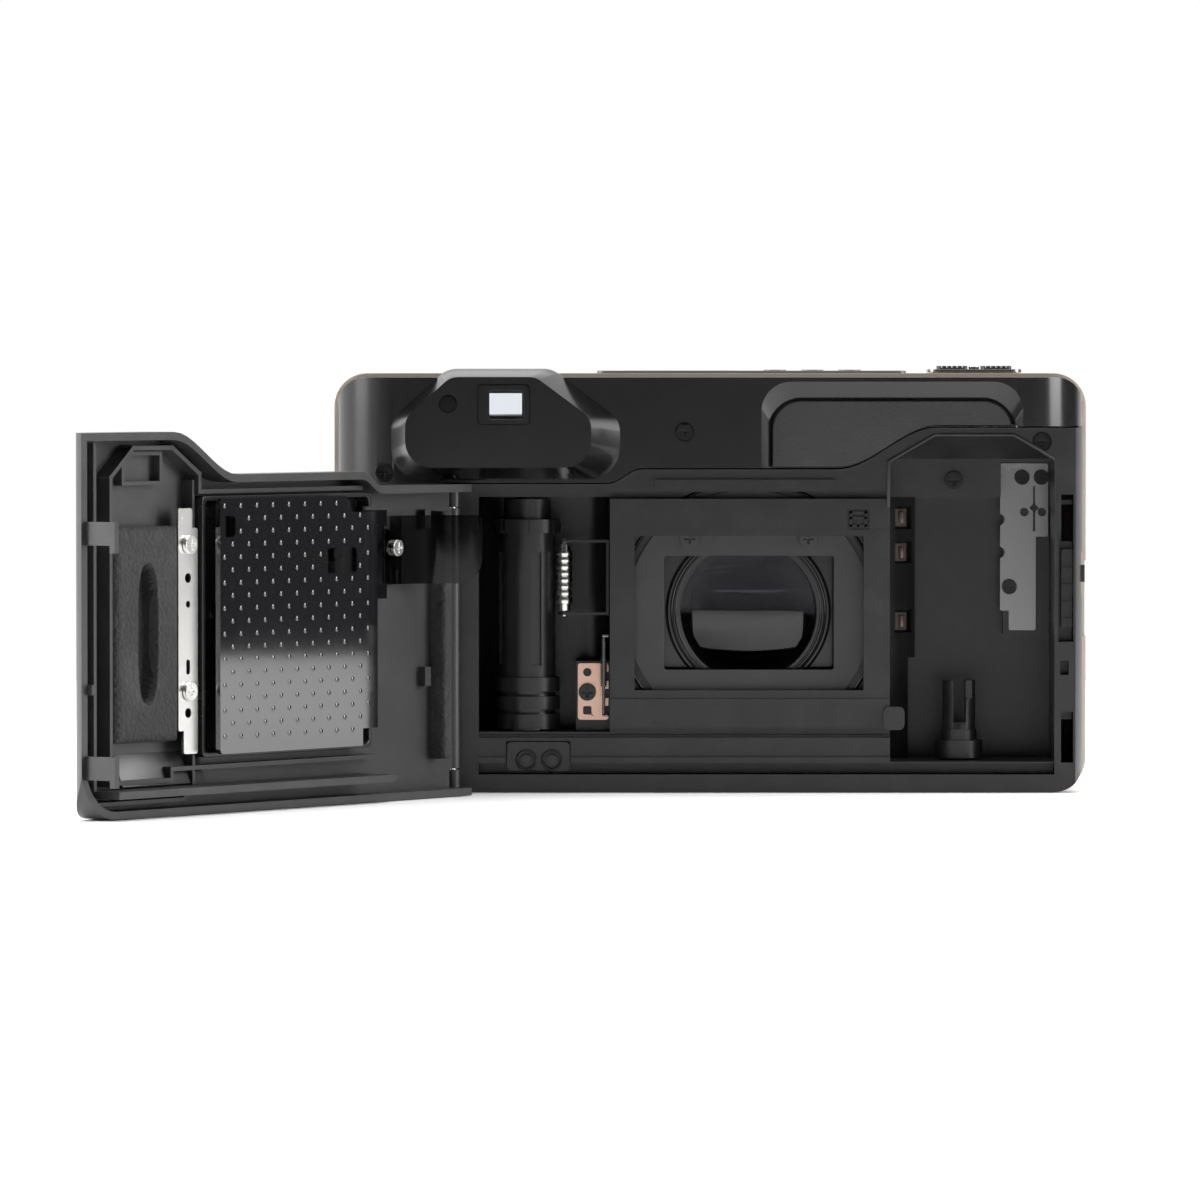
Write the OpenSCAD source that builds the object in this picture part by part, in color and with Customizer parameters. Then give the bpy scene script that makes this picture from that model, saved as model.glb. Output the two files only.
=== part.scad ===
// 35 mm zoom compact film camera with its back door open.
// Millimetres. +Z up, the back of the camera faces -Y, the lens faces +Y.
// The origin is the mouth of the tripod socket, in the base plane.

/* [Body] */
// Overall width without the open door
body_w = 158; // [150:1:200]
// Height of the black rear cover
body_h = 88; // [86:1:110]
// Depth from the rear skin to the front skin
body_d = 47; // [46:1:58]
// Distance of the rear skin behind the tripod socket
rear_d = 25; // [24:0.5:28]
// Wall of the moulded covers
wall = 1.6; // [1.2:0.1:2.2]
// Rounding of the back corners in plan
end_r = 15; // [8:0.5:18]
// Rounding of the front corners in plan
nose_r = 9; // [5:0.5:12]
// Rounding of the corners in rear view
edge_r = 6.2; // [4:0.2:9]
// How far the front shell stands proud of the rear cover
proud = 0.8; // [0.4:0.1:1.2]
// Depth of the black band between rear skin and front shell
band_d = 16; // [14:0.5:18]
// Working gap between pieces that touch
gap = 0.2; // [0.1:0.05:0.3]

/* [Film path] */
// Height of the lens axis
lens_z = 38; // [36:0.5:42]
// Lens axis to the cassette chamber
lens_to_cassette = 29.8; // [29:0.1:34]
// Lens axis to the take-up chamber
lens_to_take_up = 29.5; // [29:0.1:34]
// Picture width
picture_w = 36; // [30:0.5:36]
// Picture height
picture_h = 24.2; // [22:0.2:25]
// Opening in the film plate, width
gate_w = 48.5; // [44:0.5:50]
// Opening in the film plate, height
gate_h = 32.7; // [30:0.1:34]
// Outer rail spacing, centre to centre
rail_c = 42.4; // [41:0.2:44]
// Outer rail width
rail_w = 6.1; // [3:0.1:6.5]
// Frame face behind the socket axis
frame_y = 17; // [16:0.1:18]
// Outer rail face behind the socket axis
rail_y = 15.6; // [15:0.1:16]
// Depth of the light trap grooves
trap_d = 5; // [3:0.5:6]

/* [Chambers] */
// Cassette chamber width
cassette_w = 34.8; // [32:0.2:38]
// Cassette radius
cassette_r = 12.5; // [12:0.1:13]
// Cassette axis from the chamber's lens side
cassette_in = 15; // [14:0.2:17]
// Cassette chamber floor
cassette_z0 = 6.6; // [6:0.1:8]
// Take-up chamber width
take_w = 27.8; // [24:0.2:30]
// Take-up chamber floor
take_z0 = 12.8; // [11:0.1:14]
// Take-up chamber height
take_h = 49.8; // [46:0.2:52]
// Spool radius
spool_r = 6; // [5:0.1:7.5]
// Spool axis behind the socket axis
spool_y = 5; // [4:0.1:7]
// Running clearance on shafts
run_c = 0.05; // [0.02:0.01:0.1]

/* [Back door] */
// Lens axis to hinge axis
lens_to_hinge = 62.7; // [62:0.1:66]
// Hinge axis in front of the rear skin
hinge_in = 1; // [0.8:0.1:2]
// Hinge barrel radius
hinge_r = 1.6; // [1.4:0.1:2]
// Hinge pin radius
pin_r = 0.75; // [0.5:0.05:1]
// Opening angle as drawn
door_open = 126; // [0:1:130]
// Door skin thickness
skin = 1.8; // [1.4:0.1:2.2]
// Door top at the hinge side
top_a = 65.6; // [64:0.1:68]
// Door top at the middle
top_b = 68.7; // [67:0.1:71]
// Door top over the cassette chamber
top_c = 77.5; // [74:0.1:80]
// Pressure plate width
plate_w = 52.4; // [48:0.2:56]
// Pressure plate height
plate_h = 51.8; // [48:0.2:54]
// Pressure plate thickness
plate_t = 1.2; // [0.8:0.1:1.6]
// Foam pad width
pad_w = 20.2; // [16:0.2:24]
// Foam pad height
pad_h = 43.4; // [36:0.2:48]

/* [Lens] */
// Outer radius of the large zoom barrel
barrel_r = 26.1; // [20:0.1:26.1]
// Wall of the zoom barrels
barrel_t = 1.8; // [1:0.1:2.2]
// Sliding clearance of the barrels
slide_c = 0.1; // [0.05:0.01:0.15]
// Front element radius
glass_r = 8.6; // [6:0.1:10]
// Trim ring width
trim_w = 4.1; // [3:0.1:6]

/* [Controls] */
// Travel of the push buttons
press = 0.6; // [0.3:0.1:0.8]
// Height of the buttons above the top
button_h = 1.5; // [1:0.1:2.5]
// Latch travel
latch_travel = 1.6; // [1.4:0.1:2]
// Tripod thread radius
tripod_r = 3.175; // [3.175:0.001:4.763]

/* [Hidden] */
$fn = 48;
e = 0.01;
hw = body_w/2;
rear_y = -rear_d;
front_y = rear_y + body_d;
part_y = rear_y + band_d;
casR = hw - 6.2;
casL = casR - cassette_w;
lens_x = casL - lens_to_cassette;
takR = lens_x - lens_to_take_up;
takL = takR - take_w;
hx = lens_x - lens_to_hinge;
hy = rear_y + hinge_in;
spool_x = takR - 17.6;
cass_x = casL + cassette_in;
cass_y = -6;
colR = hx - 2.5;
fy = -frame_y;
ry = -rail_y;
take_z1 = take_z0 + take_h;
gz0 = lens_z - gate_h/2;
gz1 = lens_z + gate_h/2;
gx0 = lens_x - gate_w/2;
gx1 = lens_x + gate_w/2;
rz0 = lens_z - rail_c/2;
rz1 = lens_z + rail_c/2;
tube_r = barrel_r + slide_c + 1.7;
bore_r = tube_r + 0.3;
front_in = front_y - wall;
top_z = body_h + proud;
hump_x0 = hx - 12.9;
hump_x1 = hx + 35.3;
hump_z0 = body_h - 21.7;
hump_z1 = body_h + 1.8;
hump_y = rear_y - 8;
eye_x = hx + 10.5;
eye_z = body_h - 5.6;
lever_x = hw - 22.4;
plate_x = lens_x + 0.2;
pad_x0 = casL + 5.9;
pad_x1 = min(pad_x0 + pad_w, hw - end_r + 0.1);
brk_x = casL + 2.6;
boss_t = 20;
base_c = 0.15;
rib_a = pad_x1 + 0.4;
rib_b = max(hw - 9.5, rib_a + 2);
lug_z = 48;
latch_x = hw - 3.8;

// Helpers ------------------------------------------------------------

module box(x0, x1, y0, y1, z0, z1) {
  translate([x0, y0, z0]) cube([x1 - x0, y1 - y0, z1 - z0]);
}
module rodx(y, z, r, x0, x1) {
  translate([x0, y, z]) rotate([0, 90, 0]) cylinder(r = r, h = x1 - x0);
}
module rody(x, z, r, y0, y1) {
  translate([x, y1, z]) rotate([90, 0, 0]) cylinder(r = r, h = y1 - y0);
}
module rodz(x, y, r, z0, z1) {
  translate([x, y, z0]) cylinder(r = r, h = z1 - z0);
}
module plan(z0, z1) {
  translate([0, 0, z0]) linear_extrude(z1 - z0) children();
}
module face(y0, y1) {
  translate([0, y1, 0]) rotate([90, 0, 0]) linear_extrude(y1 - y0) children();
}
module side(x0, x1) {
  translate([x0, 0, 0]) rotate([90, 0, 90]) linear_extrude(x1 - x0) children();
}
module rr(x0, y0, x1, y1, r) {
  translate([x0 + r, y0]) square([x1 - x0 - 2*r, y1 - y0]);
  translate([x0, y0 + r]) square([x1 - x0, y1 - y0 - 2*r]);
  for (x = [x0 + r, x1 - r]) for (y = [y0 + r, y1 - r]) translate([x, y]) circle(r);
}
module rect(x0, x1, z0, z1) {
  translate([x0, z0]) square([x1 - x0, z1 - z0]);
}
module cross(x, z, y0, y1) {
  box(x - 1.1, x + 1.1, y0, y1, z - 0.22, z + 0.22);
  box(x - 0.22, x + 0.22, y0, y1, z - 1.1, z + 1.1);
}
module screw(x, z, y, r, sink) {
  difference() {
    union() {
      rody(x, z, r, y - 0.9, y);
      rody(x, z, 0.8, y - e, y + sink);
    }
    cross(x, z, y - 1.2, y - 0.45);
  }
}
// Outer form of the rear half and of the proud front shell, taken in by i.
module form(i, p) {
  w = hw + p;
  intersection() {
    plan(-1, body_h + 4) {
      intersection() {
        rr(-w + i, rear_y - p + i, w - i, front_y + 20, end_r + p - i);
        rect(-w, w, rear_y - p, -1);
      }
      intersection() {
        rr(-w + i, rear_y - 20, w - i, front_y - i, nose_r + p - i);
        rect(-w, w, -1 - e, front_y);
      }
    }
    face(rear_y - 2, front_y + 2)
      rr(-w + i, (p > 0 ? 0 : base_c) + i, w - i, body_h + p - i, edge_r + p - i);
  }
}
// Smooth step along the upper edge of the back door.
function ease(t) = t <= 0 ? 0 : t >= 1 ? 1 : t*t*(3 - 2*t);
xa = hx + 32.8;
xb = hx + 39.8;
xc = casL - 11;
xd = casL + 9.6;
function door_top(x) = top_a + (top_b - top_a)*ease((x - xa)/(xb - xa))
  + (top_c - top_b)*ease((x - xc)/(xd - xc));
edge_xs = [-hw - 5, for (i = [0:6]) xa + (xb - xa)*i/6, for (i = [0:10]) xc + (xd - xc)*i/10, hw + 5];
module below_edge(d, x0, x1) {
  intersection() {
    polygon([[-hw - 5, -3], for (x = edge_xs) [x, door_top(x) + d], [hw + 5, -3]]);
    rect(x0, x1, -3, body_h + 5);
  }
}

// Covers ---------------------------------------------------------------

win_x = eye_x;
flash_x = hw - 26;
af_x = lens_x - 6;
module front_cover() color([0.80, 0.74, 0.66]) {
  for (x = [lens_x - 28, lens_x + 24]) rody(x, lens_z + tube_r + 5, 1.6, front_in - 3.2, front_in + 0.4);
  difference() {
    form(0, proud);
    form(wall, proud);
    box(-hw - 5, hw + 5, rear_y - 5, part_y, -2, body_h + 5);
    rody(lens_x, lens_z, tube_r + gap, front_y - 5, front_y + 3);
    face(front_y - 5, front_y + 3) {
      rr(win_x - 7, eye_z - 4.6, win_x + 7, eye_z + 3.6, 1);
      rr(flash_x - 13.5, body_h - 21, flash_x + 13.5, body_h - 8, 1.5);
      rr(af_x - 15, body_h - 16, af_x + 15, body_h - 8, 1.5);
    }
    rodz(0, 0, 6 + gap, -1, wall + 2);
    plan(-1, wall + 2) rr(bat_x - 9.6, bat_y - 9.6, bat_x + 9.6, bat_y + 9.6, 3);
    plan(top_z - 0.6, top_z + 1) rr(pan_x0 - gap, pan_y0 - gap, pan_x1 + gap, pan_y1 + gap, 2);
    plan(top_z - 5, top_z + 1) rr(lever_x - 9.4, 0.6, lever_x + 9.4, 11.4, 2);
    box(hw - 4, hw + 4, part_y - 1, part_y + 4.6, lens_z - 5, lens_z + 11);
    box(-hw - 3, -hw + 4, 3.8, 6.2, lug_z - 3.2, lug_z + 3.2);
  }
}
bat_x = -hw + 11.7;
bat_y = 4;
pan_x0 = lens_x - 32.2;
pan_x1 = min(lens_x + 33.6, lever_x - 14.8);
pan_y0 = -4;
pan_y1 = 13;

// Points of an arc of radius r rounding the corner p between a and b.
function unit(v) = v/norm(v);
function arc(a, p, b, r, n) = let(u = unit(a - p), v = unit(b - p), h = acos(u*v)/2, c = p + unit(u + v)*r/sin(h),
  s = p + u*r/tan(h) - c, t = p + v*r/tan(h) - c, t0 = atan2(s[1], s[0]),
  d = (atan2(t[1], t[0]) - t0 + 900)%360 - 180) [for (k = [0:n]) c + r*[cos(t0 + d*k/n), sin(t0 + d*k/n)]];
function rounded(pts, rs, n) = let(m = len(pts))
  [for (i = [0:m - 1]) each arc(pts[(i + m - 1)%m], pts[i], pts[(i + 1)%m], rs[i], n)];
// The finder hump narrows to hump_k of its outline at its face, about the point (hump_cx, hump_cz).
hump_k = 0.81;
hump_cx = hump_x0 + 16.3;
hump_cz = hump_z0 + 14.7;
module hump_outline(i)
  polygon(rounded([[hump_x0 + i, hump_z0 + i], [hump_x1 - i, hump_z0 + i], [hump_x1 - i, hump_z1 - 10.7],
    [hump_x1 - 14.4 - i, hump_z1 - i], [hump_x0 + 11.8 + i, hump_z1 - i], [hump_x0 + i, hump_z1 - 10.7]],
    [6.8 - i, 6.8 - i, 5, 5, 5, 5], 6));
module hump(i) {
  face(rear_y, rear_y + 12) hump_outline(i);
  translate([hump_cx, rear_y, hump_cz]) rotate([90, 0, 0])
    linear_extrude(rear_y - hump_y - i, scale = hump_k)
      translate([-hump_cx, -hump_cz]) hump_outline(i);
}
thumb_x0 = lens_x + 2.4;
thumb_x1 = lens_x + 57.6;
thumb_z = body_h - 0.9;
well_d = 2.4;
well_k = 0.915;
module well_outline() rr(thumb_x0, 40, thumb_x1, thumb_z, 6.3);
module thumb_well() {
  face(rear_y - 1, rear_y) well_outline();
  translate([lens_x + 30, rear_y + well_d, 40]) rotate([90, 0, 0])
    linear_extrude(well_d, scale = 1/well_k) scale(well_k) translate([-lens_x - 30, -40]) well_outline();
}
module cover_region(d) {
  difference() {
    rect(-hw - 5, hw + 5, -3, body_h + 5);
    below_edge(gap + d, colR - d, hw + 6);
  }
}
module rear_cover() color([0.06, 0.06, 0.065]) {
  difference() {
    union() {
      intersection() {
        form(0, 0);
        face(rear_y - 1, part_y - gap) cover_region(0);
      }
      hump(0);
    }
    difference() {
      intersection() {
        union() {
          form(wall, 0);
          hump(wall);
        }
        face(hump_y + wall, part_y + 3) {
          cover_region(wall);
          rect(hump_x0 + wall, hump_x1 - wall, hump_z0 + wall, hump_z1 - wall);
        }
      }
      box(thumb_x0 - 2.5, thumb_x1 + 2.5, rear_y, rear_y + 4.2, 40, body_h);
      rody(hx - 14.5, hump_z0 + 1.7, 3.4, rear_y, rear_y + 3.2);
      rody(lens_x - 13.8, body_h - 11.4, 3.4, rear_y, rear_y + 3.2);
    }
    thumb_well();
    face(hump_y - 1, hump_y + 1.3) rr(eye_x - 5.2, eye_z - 4.3, eye_x + 6, eye_z + 4.3, 1);
    face(hump_y - 1, rear_y + 12) rr(eye_x - 4.2, eye_z - 3.4, eye_x + 5.2, eye_z + 3.2, 0.6);
    rody(hx - 0.8, body_h - 5.5, 1.7 + gap, hump_y - 1, rear_y);
    for (s = [[hx - 14.5, hump_z0 + 1.7], [lens_x - 13.8, body_h - 11.4]]) {
      rody(s[0], s[1], 2.1, rear_y - 4, rear_y + 1.4);
      rody(s[0], s[1], 0.9, rear_y, rear_y + 6);
    }
  }
}
module thumb_pad() color([0.10, 0.10, 0.105])
  face(rear_y + 1.5, rear_y + well_d - gap/2) difference() {
    rr(thumb_x0 + 2.5, 40, thumb_x1 - 2.5, thumb_z - 4.2, 6);
    below_edge(gap + 0.3, -hw, hw);
  }
module eyepiece_frame() color([0.05, 0.05, 0.05]) difference() {
  face(hump_y + 0.3, hump_y + 1.2) rr(eye_x - 5, eye_z - 4.1, eye_x + 5.8, eye_z + 4.1, 0.9);
  face(hump_y, hump_y + 2) rr(eye_x - 2.6, eye_z - 3.2, eye_x + 4.6, eye_z + 2.9, 0.5);
}
module eyepiece_lens() color([0.8, 0.9, 0.95, 0.4])
  face(hump_y + 1.4, hump_y + 3) rr(eye_x - 4, eye_z - 3.2, eye_x + 4.8, eye_z + 3, 0.5);
module finder_tube() color([0.08, 0.08, 0.08]) difference() {
  face(hump_y + 3.2, front_in - 2.4) rect(eye_x - 4, eye_x + 5, eye_z - 3.2, eye_z + 3);
  face(hump_y, front_y) rect(eye_x - 3.2, eye_x + 4.2, eye_z - 2.5, eye_z + 2.3);
}
module finder_window() color([0.8, 0.9, 0.95, 0.4])
  face(front_in - 0.6, front_y - 0.3) rr(win_x - 6.8, eye_z - 4.4, win_x + 6.8, eye_z + 3.4, 0.9);
module finder_lamp() color([0.2, 0.7, 0.2]) union() {
  rody(hx - 0.8, body_h - 5.5, 1.7, hump_y + 0.6, hump_y + 3);
  rody(hx - 0.8, body_h - 5.5, 2.1, hump_y + wall + gap, hump_y + 3);
}
module cover_screws() color([0.12, 0.12, 0.12]) {
  screw(hx - 14.5, hump_z0 + 1.7, rear_y + 1.35, 1.85, 3);
  screw(lens_x - 13.8, body_h - 11.4, rear_y + 1.35, 1.85, 3);
}

// Chassis --------------------------------------------------------------

shelf_z = take_z1;
cz1 = casL + 0.1;
module film_chassis() color([0.09, 0.09, 0.095]) {
  face(fy + 0.2, fy + 2) rr(casL - 1.4, 13.3, casL + 3.1, 18.2, 1.2);
  difference() {
  union() {
    intersection() {
      form(0, 0);
      face(fy, part_y - gap) below_edge(-gap, colR + gap, hw + 5);
    }
    box(takL - 4.9, casR + 0.6, part_y - gap, 8, 3, take_z1 + 2);
    box(takR - e, casL + e, part_y - gap, 8, 3, lens_z + bore_r + 1.8);
    box(casL - 1.6, casR + 0.6, part_y - gap, 8, take_z1, top_c - 0.6);
    face(fy - 1, fy + e) {
      rect(lens_x - 20, lens_x + 18, lens_z + plate_h/2 + 0.8, top_b - 2.3);
      rect(takL, casR, 6.4, 7.6);
    }
    for (z = [[1.5, 5.3], [60.7, 64.6]]) {
      rodz(hx, hy, hinge_r, z[0], z[1]);
      box(hx - hinge_r, hx + hinge_r, hy, fy + e, z[0], z[1]);
    }
    rody(casR - 20.2, top_c - 3.2, 1.6, -11, -8 + e);
  }
  // take-up chamber
  difference() {
    plan(take_z0, take_z1) rr(takL, fy - 20, takR, 6, 5);
    box(takR - 7.2, takR + 1, -9.2, 9, take_z0 - 1, take_z0 + 14.8);
  }
  // cassette chamber
  plan(cassette_z0, 62.5) difference() {
    rr(casL, fy - 20, casR, 7, 5);
    polygon([[casL - 1, -2.4], [casL + 5.9, 3.2], [casL + 5.9, 9], [casL - 1, 9]]);
    rect(casR - 10, casR + 1, 3.4, 9);
  }
  box(casL + 5.9, casR - 10, 0, 7, cassette_z0, 62.5);
  box(casL + 0.2, casR - 10, 2, 7, cassette_z0, 28);
  box(casR - 11, casR, fy - 2, 3.4, 60, 70);
  intersection() {
    face(fy - 2, -8) polygon([[casL, 30], [casR - 0.3, 30], [casR - 0.3, 70.5], [casR - 8.7, 75.5],
      [casL + 9.6, 75.5], [casL, 70]]);
    side(casL - 1, casR + 1) polygon([[fy - 2, 20], [fy - 2, 77], [fy + 1.2, 76], [-8, 70.6], [-8, 20]]);
  }
  box(casR - 10, casR, fy - 2, 7, cassette_z0, 33);
  dx_place() box(-2.3, 2.3, -1, 1.6, -2.4, 2.4);
  // film plane
  box(takL, casR, fy - 2, ry, lens_z - plate_h/2 - 0.4, lens_z + plate_h/2 + 0.5);
  box(takR - 1, casL + 1, fy - 2, -15, rz0 + rail_w/2, rz1 - rail_w/2);
  box(takL, casR, fy - 2, ry + 1.2, rz0 - rail_w/2 - 1.6, rz0 - rail_w/2);
  box(takL, casL + 1, fy - 2, -12, rz1 + rail_w/2, rz1 + rail_w/2 + 1.5);
  box(takL, casR, fy - 2, fy + trap_d, 3.9, 6.4);
  box(gx0, gx1, fy - 2, -10, gz0, gz1);
  box(lens_x + 20.8, lens_x + 25.4, fy - 2, ry + 1, gz1 + 1.4, gz1 + 5.7);
  // lens tunnel, screws and sockets
  rody(lens_x, lens_z, bore_r, -12.2, 12);
  for (s = [-1, 1]) rody(lens_x + 12.6*s, gz1 - 0.6, 2.3, -13.6, -12);
  rodz(0, 0, 5, 2, 9);
  rodz(0, 0, 6.2, 0, 3.4);
  rodz(spool_x, -spool_y, 4.7, 2, take_z0 + 1);
  rodz(spool_x, -spool_y, 2 + run_c, take_z1 - 1, take_z1 + 4);
  rodz(cass_x, cass_y, 2 + run_c, 2, cassette_z0 + 1);
  for (z = [0, 60.6]) rodz(hx, hy, pin_r + gap/2, z, z + 6);
  rody(casR - 2.7, top_c - 1.7 - 1.4, 2.1, fy - 1, fy + 1.6);
  rody(casR - 2.7, top_c - 1.7 - 1.4, 0.9, fy, fy + 6);
  rody(casR - 21, 66, 0.9, -9, -3);
  for (s = guide_screws) rody(s[0], s[1], 0.9, 3, 7);
  // pocket for the data contacts
  box(spool_x - 4.4, spool_x + 9.3, fy - 2, -14, 4.5, 11);
  // latch race and its windows
  box(latch_x - 1.7, latch_x + 1.7, -13, part_y + 1, 5, 66);
  box(latch_x - 1.6, latch_x + 1.6, fy - 3, -12, lens_z - 6, lens_z + 16.8);
  box(latch_x - 1, latch_x + 1.6, fy - 3, -9.5, 53, 63.2);
  box(latch_x - 1, latch_x + 1.6, fy - 3, -9.5, 6.4, 17.2);
  box(latch_x - 1.2, latch_x + 0.6, fy - 3, -12, 25, 28);
  box(latch_x, hw + 2, -13.6, part_y + 1, lens_z + 3.6, lens_z + 13);
  rody(takR - 4.8, take_z0 + 8.3, 0.9, -10, -5);
  }
}
module contact_plate() color([0.78, 0.52, 0.42]) difference() {
  union() {
    face(-9.8, -9.3) rr(takR - 6.8, take_z0 + 2.4, takR - 0.3, take_z0 + 14.4, 0.6);
    face(-10.1, -9.7) rr(takR - 3, take_z0 + 2.4, takR - 0.3, take_z0 + 14.4, 0.6);
  }
  for (z = [4.4, 8, 11.6]) rody(takR - 0.6, take_z0 + z, 1, -12, -9);
  rody(takR - 4.8, take_z0 + 8.3, 1, -12, -9);
  rody(takR - 4.8, take_z0 + 12.5, 0.9, -12, -9);
  face(-12, -9) rr(takR - 5.7, take_z0 + 3.5, takR - 3.9, take_z0 + 5.3, 0.4);
}
module contact_plate_screw() color([0.1, 0.1, 0.1]) screw(takR - 4.8, take_z0 + 8.3, -9.9, 1.84, 3.5);

module aperture_mask() color([0.07, 0.07, 0.07]) difference() {
  rody(lens_x, lens_z, tube_r - 1.8, -12, -11.2);
  face(-13, -11) rr(lens_x - picture_w/2, lens_z - picture_h/2, lens_x + picture_w/2, lens_z + picture_h/2, 0.6);
  for (s = [-1, 1]) rody(lens_x + 12.6*s, gz1 - 0.6, 1, -13, -11);
}
module mask_screws() color([0.6, 0.6, 0.6])
  for (s = [-1, 1]) screw(lens_x + 12.6*s, gz1 - 0.6, -12.1, 2, 2.6);
module light_box() color([0.04, 0.04, 0.04]) difference() {
  rody(lens_x, lens_z, tube_r - 0.4, -11, -9.4);
  face(-12, -9) rr(lens_x - 18.8, lens_z - 13, lens_x + 18.8, lens_z + 13, 1);
  for (s = [-1, 1]) rody(lens_x + 12.6*s, gz1 - 0.6, 1, -12, -9);
}
dx_a = 38.7;
guide_screws = [[casR - 6, 66.5], [casR - 1.9, 66.5], [casR - 8.7, 43.1]];
dx_zs = [35.8, 50.5, 57.9];
module dx_place() for (z = dx_zs) translate([casL + 3.4, 1.17, z]) rotate([0, 0, dx_a]) children();
module dx_contacts() color([0.62, 0.5, 0.3]) dx_place() {
  box(-1.6, 1.6, 0.9, 1.5, -1.9, 1.9);
  rodz(0, 0.7, 0.75, -1.2, 1.2);
}
module guide_plate() color([0.72, 0.72, 0.72]) difference() {
  face(2.8, 3.3) difference() {
    union() {
      rr(casR - 10.7, 53.8, casR - 0.4, 69.5, 0.5);
      rr(casR - 10.7, 33.8, casR - 3, 56, 0.5);
    }
    translate([casR - 10.9, 57.5]) circle(1.2);
    translate([casR - 10.9, 50.5]) circle(1.2);
    rect(casR - 3.6, casR - 3.2, 55, 64.6);
    translate([casR - 3.4, 60]) rotate(45) rect(-0.7, 0.7, -0.7, 0.7);
    rect(casR - 11, casR - 8.8, 33, 38);
    translate([casR - 5.5, 59.1]) circle(0.9);
    translate([casR - 1.7, 59.1]) circle(0.9);
    for (s = guide_screws) translate([s[0], s[1]]) circle(1);
  }
}
module guide_plate_screws() color([0.1, 0.1, 0.1])
  for (s = guide_screws) screw(s[0], s[1], 2.75, 1.6, 3.2);
module chamber_screws() color([0.12, 0.12, 0.12]) {
  screw(casR - 21, 66, -8.05, 1.95, 4);
  screw(casR - 2.7, top_c - 3.1, fy + 1.55, 1.85, 3);
}
module data_contacts() color([0.75, 0.6, 0.35]) {
  difference() {
    face(fy - 0.3, -14.2) rr(spool_x - 4.2, 4.7, spool_x + 9.1, 10.8, 1);
    for (x = [spool_x - 0.1, spool_x + 5.3]) rody(x, 7, 2.3, fy - 1, fy + 0.5);
  }
  for (x = [spool_x - 0.1, spool_x + 5.3]) rody(x, 7, 1.15, fy - 1, fy + 1);
}
module film_wire() color([0.6, 0.6, 0.6]) union() {
  rodz(takR - 1.3, -13.5, 0.3, take_z0 + 3.2, take_z0 + 20.7);
  box(takR - 1.6, takR - 0.2, -13.8, -13.2, take_z0 + 3.2, take_z0 + 3.8);
  box(takR - 1.6, takR - 0.2, -13.8, -13.2, take_z0 + 20.1, take_z0 + 20.7);
}
rol_x = spool_x + spool_r + 1.9;
rol_y = -7;
module roller_bracket() color([0.65, 0.65, 0.65]) difference() {
  union() {
    box(takR - 0.8, takR - 0.2, rol_y - 1.4, rol_y + 1.4, lens_z - 0.6, lens_z + 15.4);
    for (z = [lens_z - 0.6, lens_z + 14.8]) {
      box(rol_x, takR - 0.5, rol_y - 1.2, rol_y + 1.2, z, z + 0.6);
      rodz(rol_x, rol_y, 1.2, z, z + 0.6);
    }
  }
  rodz(rol_x, rol_y, 0.6 + run_c, lens_z - 2, lens_z + 17);
}
module film_roller() color([0.8, 0.8, 0.8]) difference() {
  union() {
    rodz(rol_x, rol_y, 0.6, lens_z - 0.9, lens_z + 15.7);
    rodz(rol_x, rol_y, 1.75, lens_z + 1.8, lens_z + 13);
    rodz(rol_x, rol_y, 1.3, lens_z + 0.3, lens_z + 14.5);
  }
  for (z = [3.2:1.4:12]) difference() {
    rodz(rol_x, rol_y, 2, lens_z + z, lens_z + z + 0.4);
    rodz(rol_x, rol_y, 1.5, lens_z + z - 1, lens_z + z + 1);
  }
}
module take_up_spool() color([0.07, 0.07, 0.07]) difference() {
  union() {
    rodz(spool_x, -spool_y, spool_r, take_z0 + 0.4, take_z1 - 4.9);
    rodz(spool_x, -spool_y, spool_r + 0.9, take_z0 + 0.4, take_z0 + 3.6);
    rodz(spool_x, -spool_y, spool_r + 0.9, take_z0 + 4.6, take_z0 + 7.4);
    rodz(spool_x, -spool_y, spool_r + 0.9, take_z0 + 8.4, take_z0 + 11.4);
    rodz(spool_x, -spool_y, spool_r + 1.2, take_z1 - 7.7, take_z1 - 4.8);
    rodz(spool_x, -spool_y, spool_r - 1, take_z1 - 5, take_z1 - 0.5);
    rodz(spool_x, -spool_y, 2, take_z1 - 1, take_z1 + 1.6);
  }
  rodz(spool_x, -spool_y, 4.7, take_z0, take_z1 - 9);
  for (a = [0:45:315]) translate([spool_x, -spool_y, 0]) rotate([0, 0, a])
    box(spool_r + 0.4, spool_r + 3, -0.6, 0.6, take_z1 - 9, take_z1 - 4);
  for (a = [0:90:270]) translate([spool_x, -spool_y, 0]) rotate([0, 0, a + 20])
    box(spool_r - 0.6, spool_r + 1, -1.1, 1.1, take_z0 + 14, take_z0 + 38);
}
module rewind_fork() color([0.08, 0.08, 0.08]) union() {
  rodz(cass_x, cass_y, 2, 3.2, cassette_z0 + 1);
  rodz(cass_x, cass_y, 5, cassette_z0 + 0.4, cassette_z0 + 4.2);
  rodz(cass_x, cass_y, 3.8, cassette_z0 + 4, cassette_z0 + 6.4);
  difference() {
    rodz(cass_x, cass_y, 3.5, cassette_z0 + 6, cassette_z0 + 16.9);
    box(cass_x - 1.3, cass_x + 1.3, cass_y - 4, cass_y + 4, cassette_z0 + 8, cassette_z0 + 18);
    box(cass_x + 1, cass_x + 4, cass_y - 4, cass_y - 2.2, cassette_z0 + 13, cassette_z0 + 18);
  }
}
module wind_motor() color([0.6, 0.6, 0.62]) union() {
  rodz(spool_x, -spool_y, 4.4, 3.4, take_z1 - 16);
  rodz(spool_x, -spool_y, 0.8, take_z1 - 17, take_z1 - 12);
}
module hinge_pin() color([0.7, 0.7, 0.7]) rodz(hx, hy, pin_r, 1.2, 65);
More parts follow.
